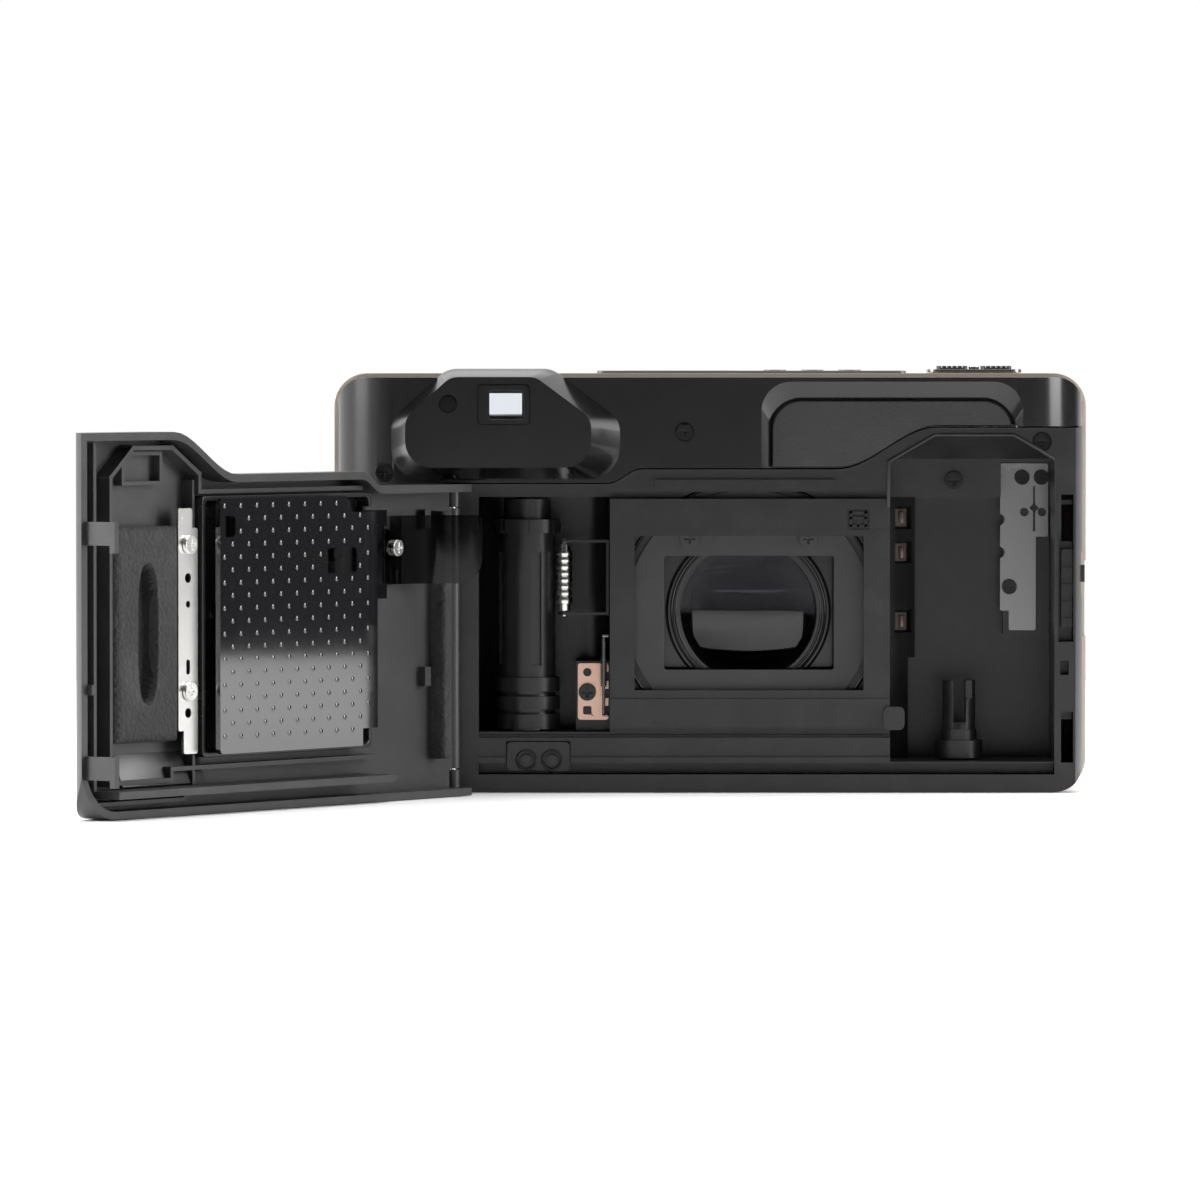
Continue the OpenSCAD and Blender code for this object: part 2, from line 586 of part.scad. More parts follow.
module tripod_socket() color([0.7, 0.7, 0.7]) difference() {
  union() {
    rodz(0, 0, 6, 0, 3.2);
    rodz(0, 0, 4.8, 3, 8.4);
  }
  rodz(0, 0, tripod_r, -1, 7);
}
module strap_lug() color([0.7, 0.7, 0.7]) difference() {
  union() {
    face(4, 6) rr(-hw - 4.6, lug_z - 3, -hw + 3.6, lug_z + 3, 2);
    box(-hw + wall - proud + 0.2, -hw + 3.6, 2, 8, lug_z - 4.5, lug_z + 4.5);
  }
  rody(-hw - 2.6, lug_z, 1.5, 0, 10);
}

// Lens -----------------------------------------------------------------

lens_f = front_y + 5;
r1 = barrel_r - barrel_t;
r2 = r1 - slide_c;
r3 = r2 - barrel_t;
rear_r = 14.4;
module lens_base() color([0.08, 0.08, 0.08]) difference() {
  union() {
    rody(lens_x, lens_z, tube_r, -9.2, front_y + 2.8);
    rody(lens_x, lens_z, tube_r + 4, 8 + gap, 10);
  }
  rody(lens_x, lens_z, barrel_r + slide_c, -11, front_y + 5);
}
module lens_trim() color([0.15, 0.15, 0.16]) difference() {
  union() {
    rody(lens_x, lens_z, tube_r + trim_w, front_y + gap/2, front_y + 1.6);
    rody(lens_x, lens_z, tube_r + trim_w - 1.6, front_y + 1, front_y + 3.2);
  }
  rody(lens_x, lens_z, tube_r + gap, front_y - 1, front_y + 5);
}
module lens_barrel_large() color([0.14, 0.14, 0.15]) difference() {
  rody(lens_x, lens_z, barrel_r, -8.6, lens_f);
  rody(lens_x, lens_z, r1, -10, lens_f + 1);
}
module lens_barrel_small() color([0.17, 0.17, 0.18]) difference() {
  rody(lens_x, lens_z, r2, -6, lens_f + 2.6);
  rody(lens_x, lens_z, r3, -7, lens_f + 0.8);
  rody(lens_x, lens_z, glass_r + 1.2, lens_f - 2, lens_f + 3);
  rotate_y_cone();
}
module rotate_y_cone() translate([lens_x, lens_f + 1.6, lens_z]) rotate([-90, 0, 0])
  cylinder(r1 = glass_r + 1.2, r2 = glass_r + 4.4, h = 1.2);
module rear_cell() color([0.06, 0.06, 0.06]) difference() {
  union() {
    rody(lens_x, lens_z, r3 - gap/2, -3, 0);
    rody(lens_x, lens_z, 17.6, -4.2, 6);
    rody(lens_x, lens_z, 16, -6.2, 8);
    rody(lens_x, lens_z, 12.4, -2, 18);
    rody(lens_x, lens_z, glass_r + 2.6, 10, lens_f - 2.2);
    rody(lens_x, lens_z, r3 - gap/2, lens_f - 2.4, lens_f - 0.6);
    for (s = [-1, 1]) rody(lens_x + 15*s, lens_z + 1.2*s, 0.7 - run_c, lens_f - 1, lens_f + 0.2);
  }
  rody(lens_x, lens_z, rear_r + 0.1, -7, -2);
  rody(lens_x, lens_z, 15.2, -7, -5.6);
  rody(lens_x, lens_z, 9.8, -3, 3);
  rody(lens_x, lens_z, 7.5, -7, lens_f);
  rody(lens_x, lens_z, glass_r + gap/2, lens_f - 8, lens_f);
  rody(lens_x, lens_z, glass_r + 1.2, lens_f - 2.4, lens_f);
}
module front_glass() color([0.5, 0.6, 0.8, 0.5]) intersection() {
  rody(lens_x, lens_z, glass_r, lens_f - 7.9, lens_f - 1.6);
  translate([lens_x, lens_f - 2.8 - 17, lens_z]) sphere(r = 17, $fn = 180);
}
module rear_glass() color([0.5, 0.6, 0.8, 0.5]) intersection() {
  rody(lens_x, lens_z, rear_r, -6, -2.1);
  translate([lens_x, -5.5 + 38, lens_z]) sphere(r = 38, $fn = 220);
}
module blade() color([0.1, 0.1, 0.1]) difference() {
  union() {
    intersection() {
      rody(0, 0, 11, lens_f - 0.4, lens_f);
      box(-12, 12, lens_f - 1, lens_f + 1, 0.05, 12);
    }
    box(7, 15, lens_f - 0.4, lens_f, 0.05, 2.4);
    rody(15, 1.2, 1.9, lens_f - 0.4, lens_f);
  }
  rody(15, 1.2, 0.7, lens_f - 1, lens_f + 1);
}
module barrier_upper() translate([lens_x, 0, lens_z]) blade();
module barrier_lower() translate([lens_x, 0, lens_z]) mirror([1, 0, 0]) mirror([0, 0, 1]) blade();

// Front and top fittings -------------------------------------------------

module flash_window() color([0.9, 0.9, 0.92, 0.5]) difference() {
  face(front_in - 0.8, front_y - 0.2) rr(flash_x - 13.3, body_h - 20.8, flash_x + 13.3, body_h - 8.2, 1.3);
  for (x = [-12:2:12]) box(flash_x + x - 0.25, flash_x + x + 0.25, front_in - 2, front_in - 0.4,
    body_h - 20, body_h - 9);
}
module flash_reflector() color([0.85, 0.85, 0.86]) union() {
  difference() {
    box(flash_x - 13, flash_x + 13, front_in - 8, front_in - 1, body_h - 20.6, body_h - 8.4);
    side(flash_x - 12.2, flash_x + 12.2)
      polygon([[front_in, body_h - 20], [front_in, body_h - 9], [front_in - 7.2, body_h - 12], [front_in - 7.2, body_h - 17]]);
  }
  rodx(front_in - 5.6, body_h - 14.5, 1.3, flash_x - 12.4, flash_x + 12.4);
}
module af_window() color([0.12, 0.08, 0.1, 0.6])
  face(front_in - 0.8, front_y - 0.2) rr(af_x - 14.8, body_h - 15.8, af_x + 14.8, body_h - 8.2, 1.3);
module main_board() color([0.05, 0.3, 0.15]) union() {
  box(lens_x - 34, min(lens_x + 28, flash_x - 13.5), front_in - 4.6, front_in - 3.4, lens_z + tube_r + 2,
    body_h - 4);
  for (x = [-14, -2, 10]) box(lens_x + x, lens_x + x + 7, front_in - 6.4, front_in - 4.5, body_h - 16, body_h - 9);
  box(lens_x - 24, lens_x - 18, front_in - 7.4, front_in - 4.5, body_h - 14, body_h - 8);
  box(lens_x - 20, lens_x + 8, front_in - 3.5, front_in - 1.2, body_h - 14.4, body_h - 9.6);
}
module battery_tube() color([0.1, 0.1, 0.1]) difference() {
  rodz(bat_x, bat_y, 9.4, wall + 2, 41);
  rodz(bat_x, bat_y, 8.6, 0, 39);
}
module battery() color([0.8, 0.7, 0.2]) union() {
  rodz(bat_x, bat_y, 8.4, wall + 1.4, 37);
  rodz(bat_x, bat_y, 3, 36, 38.6);
}
module battery_door() color([0.75, 0.7, 0.62]) difference() {
  plan(0.1, wall) rr(bat_x - 9.4, bat_y - 9.4, bat_x + 9.4, bat_y + 9.4, 2.8);
  for (y = [-3:1.5:3]) box(bat_x - 4, bat_x + 4, bat_y + y - 0.3, bat_y + y + 0.3, -1, 0.5);
}
module top_panel() color([0.5, 0.5, 0.52]) difference() {
  union() {
    plan(top_z - 0.5, top_z + 0.5) rr(pan_x0, pan_y0, pan_x1, pan_y1, 1.9);
    for (x = [38, 46, 54]) rodz(pan_x0 + x, 4.5, 2.4, top_z, top_z + 0.7);
  }
  plan(top_z + 0.25, top_z + 2) rr(pan_x0 + 6, pan_y0 + 3, pan_x0 + 30, pan_y1 - 3, 1);
  for (x = [38, 46, 54]) difference() {
    rodz(pan_x0 + x, 4.5, 3, top_z + 0.2, top_z + 2);
    rodz(pan_x0 + x, 4.5, 2.4, top_z, top_z + 2);
  }
}
module release_bezel() color([0.75, 0.75, 0.76]) difference() {
  union() {
    plan(top_z + 0.1, top_z + 0.8) rr(lever_x - 10, 0, lever_x + 10, 12, 2.4);
    plan(top_z - wall, top_z + 0.2) rr(lever_x - 9.2, 0.8, lever_x + 9.2, 11.2, 1.9);
  }
  for (x = [-4.7, 4.7]) plan(top_z - 5, top_z + 5)
    rr(lever_x + x - 3.2 - gap/2, 2.2, lever_x + x + 3.2 + gap/2, 9.8, 0.9);
  rodz(lever_x, 6, 1.1 + gap/2, top_z - 5, top_z + 5);
}
module zoom_pad(x) difference() {
  union() {
    plan(top_z - 2.6, top_z + button_h) rr(x - 3.2, 2.3, x + 3.2, 9.7, 0.8);
    plan(top_z - 2.6, top_z - 2 - gap) rr(x - 3.5, 1.4, x + 3.5, 10.6, 0.8);
  }
  for (k = [-2:1:2]) box(x + k*1.1 - 0.2, x + k*1.1 + 0.2, 1, 11, top_z + button_h - 0.4, top_z + 4);
}
module zoom_tele() color([0.1, 0.1, 0.1]) zoom_pad(lever_x + 4.7);
module zoom_wide() color([0.1, 0.1, 0.1]) zoom_pad(lever_x - 4.7);
module shutter_button() color([0.8, 0.8, 0.8]) union() {
  rodz(lever_x, 6, 1.1, top_z - 3.4, top_z + button_h - 0.1);
  rodz(lever_x, 6, 0.9, top_z - 4.4, top_z - 3);
}

// Latch ------------------------------------------------------------------

module latch_bar() color([0.12, 0.12, 0.12]) difference() {
  union() {
    box(latch_x - 1.5, latch_x + 1.5, -12.8, -11.2, 7.4, 62);
    box(latch_x - 0.9, latch_x + 1.5, -14.8, -12.7, lens_z - 3, lens_z + 13.6);
    box(latch_x + 1, hw + 0.4, -12.9, -11.1, lens_z + 6.6, lens_z + 10.2);
  }
  box(latch_x - 0.8, latch_x + 2, -14, -10, 53.2, 61);
  box(latch_x - 0.8, latch_x + 2, -14, -10, 6, 15.4);
  for (k = [0:3]) box(latch_x - 1, latch_x + 2, -15, -14.4, lens_z - 1 + 3.6*k, lens_z + 0.4 + 3.6*k);
}

// Back door ----------------------------------------------------------------

module swing() translate([hx, hy, 0]) rotate([0, 0, -door_open]) translate([-hx, -hy, 0]) children();
dz0 = base_c;
foot_r = 11.5;
module door_region(d, x0) {
  intersection() {
    below_edge(-d, x0, hw + 5);
    union() {
      rect(x0, hw + 5, foot_r + 4, body_h);
      rr(x0 - 3*foot_r, dz0 + d, hw - wall - d, foot_r*4, foot_r - d);
    }
    rect(x0, hw + 5, dz0 + d, body_h);
  }
}
// Upright rib on the door skin through a list of points.
module rib(pts, t, y1) {
  face(rear_y + 1, y1) for (i = [0:len(pts) - 2]) {
    d = pts[i + 1] - pts[i];
    translate(pts[i]) rotate(atan2(d[1], d[0])) translate([-t/2, -t/2]) square([norm(d) + t, t]);
  }
}
module door_hook(z) {
  box(latch_x - 0.6, latch_x + 0.8, -19, -9.7, z + 1.7, z + 6.4);
  box(latch_x - 0.6, latch_x + 0.8, -11, -9.7, z + 0.2, z + 1.8);
}
module door_shell() color([0.07, 0.07, 0.075]) swing() difference() {
  union() {
    difference() {
      intersection() {
        form(0, 0);
        face(rear_y - 1, fy - 0.3) door_region(0, hx + 2.2);
      }
      intersection() {
        form(wall, 0);
        face(rear_y + skin, fy + 2) door_region(wall, hx - 2);
      }
    }
    rodz(hx, hy, hinge_r - 0.05, 5.6, 60.4);
    box(hx, hx + 3, rear_y + 0.1, rear_y + skin, 5.6, 60.4);
    box(takR, casR - 3, rear_y + 1, fy + 3.4, 4.4, 5.9);
    // ribs around the plate tray and the cassette pad
    box(casL - 0.9, casL - 0.1, rear_y + 1, rear_y + 4.6, 6, top_b - 1);
    rib([[rib_a + 0.4, 7], [rib_a + 0.4, top_c - 9], [rib_a - 6.8, top_c - 3.2], [casL + 7.2, top_c - 3.2],
      [casL - 1.6, top_c - 8.6], [casL - 1.6, tray_z1 + 0.9], [takR + 4, tray_z1 + 0.9]], 0.9, rear_y + 5.4);
    rib([[rib_b, 3], [rib_b, top_c - 2.4]], 0.9, rear_y + 5);
    rib([[rib_b, 3.2], [casL + 4, 3.2], [casL + 2.5, 4.4]], 0.8, rear_y + 5.6);
    rib([[rib_a + 0.4, 7.2], [casL + 7, 7.2], [casL + 7, 9.4], [takR - 2, 9.4]], 0.9, rear_y + 5);
    difference() {
      box(casL + 8.6, rib_a - 5, rear_y + 1, rear_y + 3.8, 66.8, 73.6);
      box(casL + 9.4, rib_a - 5.8, rear_y, rear_y + 5, 67.6, 72.8);
    }
    for (z = [tray_z1 - 8, tray_z0 + 12]) box(hx + 11, hx + 13, rear_y + 1, rear_y + 3.6, z, z + 4);
    for (z = [lens_z + 16.7, lens_z - 13]) rody(brk_x, z, 2.6, rear_y + 1, -boss_t);
    rody(takR - 9, lens_z + 14.6, 2.4, rear_y + 1, -21.4);
    door_hook(53.5);
    door_hook(6.8);
    box(latch_x - 0.9, latch_x + 0.2, -19.4, -16, 25.4, 27.4);
  }
  rodz(hx, hy, pin_r + run_c, 0, 66);
  for (z = [lens_z + 16.7, lens_z - 13]) rody(brk_x, z, 0.9, rear_y + 1.6, -boss_t + 1);
  rody(takR - 9, lens_z + 14.6, 0.9, rear_y + 1.6, -20);
  face(rear_y - 1, rear_y + 0.7) rr(plate_x - 22, lens_z - 18, plate_x + 22, lens_z + 14, 3);
}
module door_seal() color([0.05, 0.05, 0.05]) swing()
  box(hx + 6.5, hx + 9, rear_y + skin + 0.1, -19.2, 8, 60);
module cassette_pad() color([0.06, 0.06, 0.06]) swing() difference() {
  face(rear_y + skin + 0.1, -18.6)
    rr(pad_x0, lens_z - 1.2 - pad_h/2, pad_x1, lens_z - 1.2 + pad_h/2, 1.4);
  rodz(cass_x, cass_y, cassette_r + gap, lens_z - 30, lens_z + 30);
}
module pad_bracket() color([0.8, 0.8, 0.8]) swing() difference() {
  face(-boss_t + 0.05, -boss_t + 0.65) difference() {
    union() {
      rr(brk_x - 3.1, lens_z - 21, brk_x + 3.1, lens_z + 20, 0.4);
      rr(brk_x - 3.1, lens_z - 25.7, brk_x + 1.4, lens_z - 18, 0.6);
      rr(brk_x - 1.4, lens_z + 15, brk_x + 3.1, lens_z + 24, 0.6);
    }
    translate([brk_x, lens_z + 9.9]) circle(1);
    translate([brk_x, lens_z + 4.6]) circle(0.7);
    translate([brk_x, lens_z - 17.4]) circle(1);
    rr(brk_x - 0.6, lens_z - 9.6, brk_x + 0.6, lens_z - 6.6, 0.5);
    for (z = [16.7, -13]) translate([brk_x, lens_z + z]) circle(1);
  }
}
module screw_in(x, z, y, r, sink) {
  difference() {
    union() {
      rody(x, z, r, y, y + 0.9);
      rody(x, z, 0.8, y - sink, y + e);
    }
    cross(x, z, y + 0.5, y + 2);
  }
}
module door_screws() color([0.8, 0.8, 0.8]) swing() {
  for (z = [lens_z + 16.7, lens_z - 13]) screw_in(brk_x, z, -boss_t + 0.75, 1.9, 3);
  screw_in(takR - 9, lens_z + 14.6, -20.7, 1.7, 2.6);
}
tray_z0 = lens_z - 26.6;
tray_z1 = lens_z + 26.4;
module plate_tray() color([0.06, 0.06, 0.06]) swing() difference() {
  union() {
    face(rear_y + skin + 0.1, -18.8) rr(plate_x - 28.2, tray_z0, plate_x + 28.2, tray_z1, 1);
  }
  face(rear_y + skin + 0.9, -15) rr(plate_x - 27.2, tray_z0 + 1, plate_x + 27.2, tray_z1 - 1, 1);
  box(plate_x - 30, plate_x - 26, -20.4, -15, lens_z + 18.6, lens_z + 23.4);
  box(plate_x - 30, plate_x - 26, -20.4, -15, lens_z + 3.4, lens_z + 8.2);
}
module pressure_plate() color([0.03, 0.03, 0.03]) swing() difference() {
  union() {
    face(ry - 0.2 - plate_t, ry - 0.2) difference() {
      rr(plate_x - plate_w/2, lens_z - plate_h/2, plate_x + plate_w/2, lens_z + plate_h/2, 1);
      rect(plate_x - plate_w/2 - 1, plate_x - plate_w/2 + 10.4, lens_z + plate_h/2 - 3.4, lens_z + plate_h/2 + 1);
      rect(plate_x - plate_w/2 - 1, plate_x - plate_w/2 + 5, lens_z - plate_h/2 - 1, lens_z - plate_h/2 + 3.6);
      rr(plate_x - plate_w/2 + 7, lens_z + 10, plate_x - plate_w/2 + 16.8, lens_z + 15.2, 0.5);
      rr(plate_x + plate_w/2 - 5, lens_z + 18, plate_x + plate_w/2 - 1.8, lens_z + 22.4, 0.5);
    }
    for (z = [lens_z + 19.5, lens_z + 4.3])
      box(plate_x - plate_w/2 - 4.6, plate_x - plate_w/2 + 1, ry - 0.2 - plate_t - 1.6, ry - 0.7 - plate_t + 0.6, z, z + 3.2);
    for (z = [lens_z - 16, lens_z + 14]) for (x = [-14, 14])
      rody(plate_x + x, z, 1.6, rear_y + skin + 1.23, ry - 1);
  }
}
leaf_x = takR - 9;
module film_leaf() color([0.3, 0.3, 0.32, 0.6]) swing() difference() {
  plan(lens_z + 7, lens_z + 21.3) polygon([
    [leaf_x + 4, -21.3], [leaf_x - 3, -21.3], [leaf_x - 6.6, -20.2], [leaf_x - 9.8, -18.2],
    [leaf_x - 12.4, -15.4], [leaf_x - 14.4, -12.2], [leaf_x - 15.4, -9.4],
    [leaf_x - 14.9, -9.2], [leaf_x - 13.8, -12], [leaf_x - 11.9, -15], [leaf_x - 9.4, -17.7],
    [leaf_x - 6.3, -19.6], [leaf_x - 2.9, -20.9 + 0.1], [leaf_x + 4, -20.9 + 0.1]]);
  rody(leaf_x, lens_z + 14.6, 1, -23, -19);
}
module date_panel() color([0.2, 0.2, 0.2]) swing() difference() {
  face(rear_y + 0.05, rear_y + 0.65) rr(plate_x - 21.8, lens_z - 17.8, plate_x + 21.8, lens_z + 13.8, 2.8);
  face(rear_y - 1, rear_y + 0.3) rr(plate_x - 16, lens_z - 4, plate_x + 16, lens_z + 8, 1);
  for (x = [-12, 0, 12]) face(rear_y - 1, rear_y + 0.3) difference() {
    translate([plate_x + x, lens_z - 11]) circle(2.6);
    translate([plate_x + x, lens_z - 11]) circle(1.9);
  }
}

// Nodes ----------------------------------------------------------------

front_cover();
rear_cover();
thumb_pad();
eyepiece_frame();
eyepiece_lens();
finder_tube();
finder_window();
finder_lamp();
cover_screws();
film_chassis();
aperture_mask();
mask_screws();
light_box();
dx_contacts();
guide_plate();
guide_plate_screws();
chamber_screws();
contact_plate();
contact_plate_screw();
data_contacts();
film_wire();
roller_bracket();
film_roller();
take_up_spool();
rewind_fork();
wind_motor();
hinge_pin();
tripod_socket();
strap_lug();
lens_base();
lens_trim();
lens_barrel_large();
lens_barrel_small();
rear_cell();
front_glass();
rear_glass();
barrier_upper();
barrier_lower();
flash_window();
flash_reflector();
af_window();
main_board();
battery_tube();
battery();
battery_door();
top_panel();
release_bezel();
shutter_button();
zoom_tele();
zoom_wide();
latch_bar();
door_shell();
door_seal();
cassette_pad();
pad_bracket();
door_screws();
plate_tray();
pressure_plate();
film_leaf();
date_panel();
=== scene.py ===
import math
import bmesh
import bpy
from mathutils import Matrix, Vector, noise


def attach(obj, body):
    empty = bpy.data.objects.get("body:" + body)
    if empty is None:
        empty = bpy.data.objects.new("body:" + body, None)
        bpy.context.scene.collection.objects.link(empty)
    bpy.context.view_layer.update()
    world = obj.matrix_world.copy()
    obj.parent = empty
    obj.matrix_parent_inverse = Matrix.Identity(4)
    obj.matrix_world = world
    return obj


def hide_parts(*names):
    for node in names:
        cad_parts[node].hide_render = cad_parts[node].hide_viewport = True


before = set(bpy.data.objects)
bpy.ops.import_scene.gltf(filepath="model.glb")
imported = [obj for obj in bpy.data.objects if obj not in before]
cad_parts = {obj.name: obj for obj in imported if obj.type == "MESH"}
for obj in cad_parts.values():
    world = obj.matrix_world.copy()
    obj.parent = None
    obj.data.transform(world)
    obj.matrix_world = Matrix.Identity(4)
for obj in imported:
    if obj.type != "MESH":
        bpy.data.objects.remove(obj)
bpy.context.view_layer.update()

scene = bpy.context.scene
mm = 0.001
print("frame loaded:", len(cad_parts), "nodes")

# view and light
studio = {
    "cameraAt": (-23.4, -1935.0, 98.3),
    "lookAt": (-23.4, -25.0, 41.1),
    "lens": 272.0,
    "seen": 1.0,
    "darkBehindCamera": 0.02,
    "fadeFrom": -0.94,
    "fadeTo": -0.12,
    "cardSide": (0.55, 0.85),
    "cardHeight": (0.10, 0.30),
    "cardDark": 0.93,
    "sensor": 36.0,
    "clip": (0.05, 20.0),
}


def aimAt(obj, spot):
    obj.rotation_euler = (Vector(spot) - obj.location).to_track_quat("-Z", "Y").to_euler()


camData = bpy.data.cameras.new("studioCamera")
camData.lens = studio["lens"]
camData.sensor_width = studio["sensor"]
camData.clip_start, camData.clip_end = studio["clip"]
cam = bpy.data.objects.new("studioCamera", camData)
scene.collection.objects.link(cam)
cam.location = Vector(studio["cameraAt"]) * mm
aimAt(cam, Vector(studio["lookAt"]) * mm)
scene.camera = cam
scene.view_settings.view_transform = "Standard"


# node helpers
def newGroup(name, ins, outs):
    tree = bpy.data.node_groups.new(name, "ShaderNodeTree")
    for label, kind, value in ins:
        sock = tree.interface.new_socket(label, in_out="INPUT", socket_type=kind)
        if value is not None:
            sock.default_value = value
    for label, kind in outs:
        tree.interface.new_socket(label, in_out="OUTPUT", socket_type=kind)
    start = tree.nodes.new("NodeGroupInput")
    end = tree.nodes.new("NodeGroupOutput")
    return tree, start, end


def addNode(tree, kind, **values):
    node = tree.nodes.new(kind)
    for key, value in values.items():
        setattr(node, key, value)
    return node


def feed(tree, socket, value):
    # a number is set on the socket, anything else is linked to it
    if isinstance(value, (int, float)):
        socket.default_value = value
    else:
        tree.links.new(value, socket)


def math2(tree, op, a, b, clamp=False):
    node = addNode(tree, "ShaderNodeMath", operation=op, use_clamp=clamp)
    feed(tree, node.inputs[0], a)
    feed(tree, node.inputs[1], b)
    return node.outputs[0]


def noiseAt(tree, vector, scale, detail, rough):
    node = addNode(tree, "ShaderNodeTexNoise")
    tree.links.new(vector, node.inputs["Vector"])
    feed(tree, node.inputs["Scale"], scale)
    node.inputs["Detail"].default_value = detail
    node.inputs["Roughness"].default_value = rough
    return node.outputs["Fac"]


def stretch(tree, value, lo, hi, outLo=0.0, outHi=1.0, curve="LINEAR"):
    node = addNode(tree, "ShaderNodeMapRange", clamp=True, interpolation_type=curve)
    tree.links.new(value, node.inputs["Value"])
    for label, number in (("From Min", lo), ("From Max", hi), ("To Min", outLo), ("To Max", outHi)):
        node.inputs[label].default_value = number
    return node.outputs["Result"]


world = bpy.data.worlds.new("softRoom")
world.use_nodes = True
scene.world = world


def fillRoom(tree):
    # white to the camera; to the light, dark behind the camera and low on the right, like black cards
    soft = "SMOOTHSTEP"
    bg = tree.nodes["Background"]
    coord = addNode(tree, "ShaderNodeTexCoord")
    way = addNode(tree, "ShaderNodeSeparateXYZ")
    tree.links.new(coord.outputs["Generated"], way.inputs[0])
    height = math2(tree, "ABSOLUTE", way.outputs["Z"], 0.0)
    level = stretch(tree, way.outputs["Y"], studio["fadeFrom"], studio["fadeTo"],
                    studio["darkBehindCamera"], 1.0, soft)
    side = stretch(tree, way.outputs["X"], *studio["cardSide"], 0.0, studio["cardDark"], soft)
    low = stretch(tree, height, *studio["cardHeight"], 1.0, 0.0, soft)
    card = math2(tree, "MULTIPLY", side, low)
    level = math2(tree, "MULTIPLY", level, math2(tree, "SUBTRACT", 1.0, card))
    path = addNode(tree, "ShaderNodeLightPath")
    pick = addNode(tree, "ShaderNodeMix")
    tree.links.new(path.outputs["Is Camera Ray"], pick.inputs["Factor"])
    tree.links.new(level, pick.inputs["A"])
    pick.inputs["B"].default_value = studio["seen"]
    tree.links.new(pick.outputs["Result"], bg.inputs["Strength"])
    bg.inputs["Color"].default_value = (1, 1, 1, 1)


fillRoom(world.node_tree)

softBoxes = [
    {"name": "overheadBox", "at": (0.0, -0.14, 0.85), "aim": (0.0, 0.0, 0.04),
     "size": (1.1, 0.6), "watts": 7.0},
    {"name": "leftBox", "at": (-0.95, -0.12, 0.40), "aim": (-0.05, 0.0, 0.05),
     "size": (0.5, 0.6), "watts": 11.0},
    {"name": "rightBox", "at": (0.95, -0.27, 0.36), "aim": (0.02, 0.0, 0.05),
     "size": (0.40, 0.60), "watts": 8.5},
]
for boxSet in softBoxes:
    lamp = bpy.data.lights.new(boxSet["name"], "AREA")
    lamp.shape = "RECTANGLE"
    lamp.size, lamp.size_y = boxSet["size"]
    lamp.energy = boxSet["watts"]
    lampObj = bpy.data.objects.new(boxSet["name"], lamp)
    scene.collection.objects.link(lampObj)
    lampObj.location = boxSet["at"]
    aimAt(lampObj, boxSet["aim"])
print("camera and soft boxes set")


# shared surface effects
handledSet = {"cloud": (38.0, 4.0, 0.6), "speck": (1900.0, 2.0, 0.5), "speckRange": (0.66, 0.78),
              "speckShare": 0.8, "film": (95.0, 5.0, 0.65), "filmRange": (0.45, 0.85), "dustRough": 0.5}
grainSet = {"smoothness": 0.6, "fineScale": 1.9, "fine": (2.0, 0.5), "fineShare": 0.5,
            "swell": (60.0, 2.0, 0.5)}
brushedSet = {"detail": 4.0, "rough": 0.7}


def buildHandled(job):
    # broad cloudy change of colour and gloss from handling, with a little dust
    tree, start, end = newGroup(
        "handledSurface",
        [("Vector", "NodeSocketVector", None), ("Color", "NodeSocketColor", (0.1, 0.1, 0.1, 1)),
         ("Dust Color", "NodeSocketColor", (0.35, 0.34, 0.33, 1)), ("Dust", "NodeSocketFloat", 0.1),
         ("Roughness", "NodeSocketFloat", 0.4), ("Smudge", "NodeSocketFloat", 0.08)],
        [("Color", "NodeSocketColor"), ("Roughness", "NodeSocketFloat")])
    vec = start.outputs["Vector"]
    cloud = noiseAt(tree, vec, *job["cloud"])
    speck = stretch(tree, noiseAt(tree, vec, *job["speck"]), *job["speckRange"])
    film = stretch(tree, noiseAt(tree, vec, *job["film"]), *job["filmRange"])
    dusty = math2(tree, "ADD", math2(tree, "MULTIPLY", speck, job["speckShare"]), film)
    dustMask = math2(tree, "MULTIPLY", dusty, start.outputs["Dust"], clamp=True)
    mix = addNode(tree, "ShaderNodeMix", data_type="RGBA")
    tree.links.new(dustMask, mix.inputs["Factor"])
    tree.links.new(start.outputs["Color"], mix.inputs["A"])
    tree.links.new(start.outputs["Dust Color"], mix.inputs["B"])
    tree.links.new(mix.outputs["Result"], end.inputs["Color"])
    swing = math2(tree, "MULTIPLY", math2(tree, "SUBTRACT", cloud, 0.5), start.outputs["Smudge"])
    change = math2(tree, "ADD", math2(tree, "MULTIPLY", swing, 2.0),
                   math2(tree, "MULTIPLY", dustMask, job["dustRough"]))
    rough = math2(tree, "ADD", start.outputs["Roughness"], change, clamp=True)
    tree.links.new(rough, end.inputs["Roughness"])
    return tree


def buildGrain(job):
    # fine moulded grain: small rounded cells over a soft swell
    tree, start, end = newGroup(
        "mouldedGrain",
        [("Vector", "NodeSocketVector", None), ("Scale", "NodeSocketFloat", 2200.0),
         ("Swell", "NodeSocketFloat", 0.15)],
        [("Height", "NodeSocketFloat")])
    vec = start.outputs["Vector"]
    cell = addNode(tree, "ShaderNodeTexVoronoi", feature="SMOOTH_F1")
    cell.inputs["Smoothness"].default_value = job["smoothness"]
    tree.links.new(vec, cell.inputs["Vector"])
    tree.links.new(start.outputs["Scale"], cell.inputs["Scale"])
    fineScale = math2(tree, "MULTIPLY", start.outputs["Scale"], job["fineScale"])
    fine = noiseAt(tree, vec, fineScale, *job["fine"])
    swell = math2(tree, "MULTIPLY", noiseAt(tree, vec, *job["swell"]), start.outputs["Swell"])
    total = math2(tree, "ADD", math2(tree, "SUBTRACT", 1.0, cell.outputs["Distance"]),
                  math2(tree, "ADD", math2(tree, "MULTIPLY", fine, job["fineShare"]), swell))
    tree.links.new(total, end.inputs["Height"])
    return tree


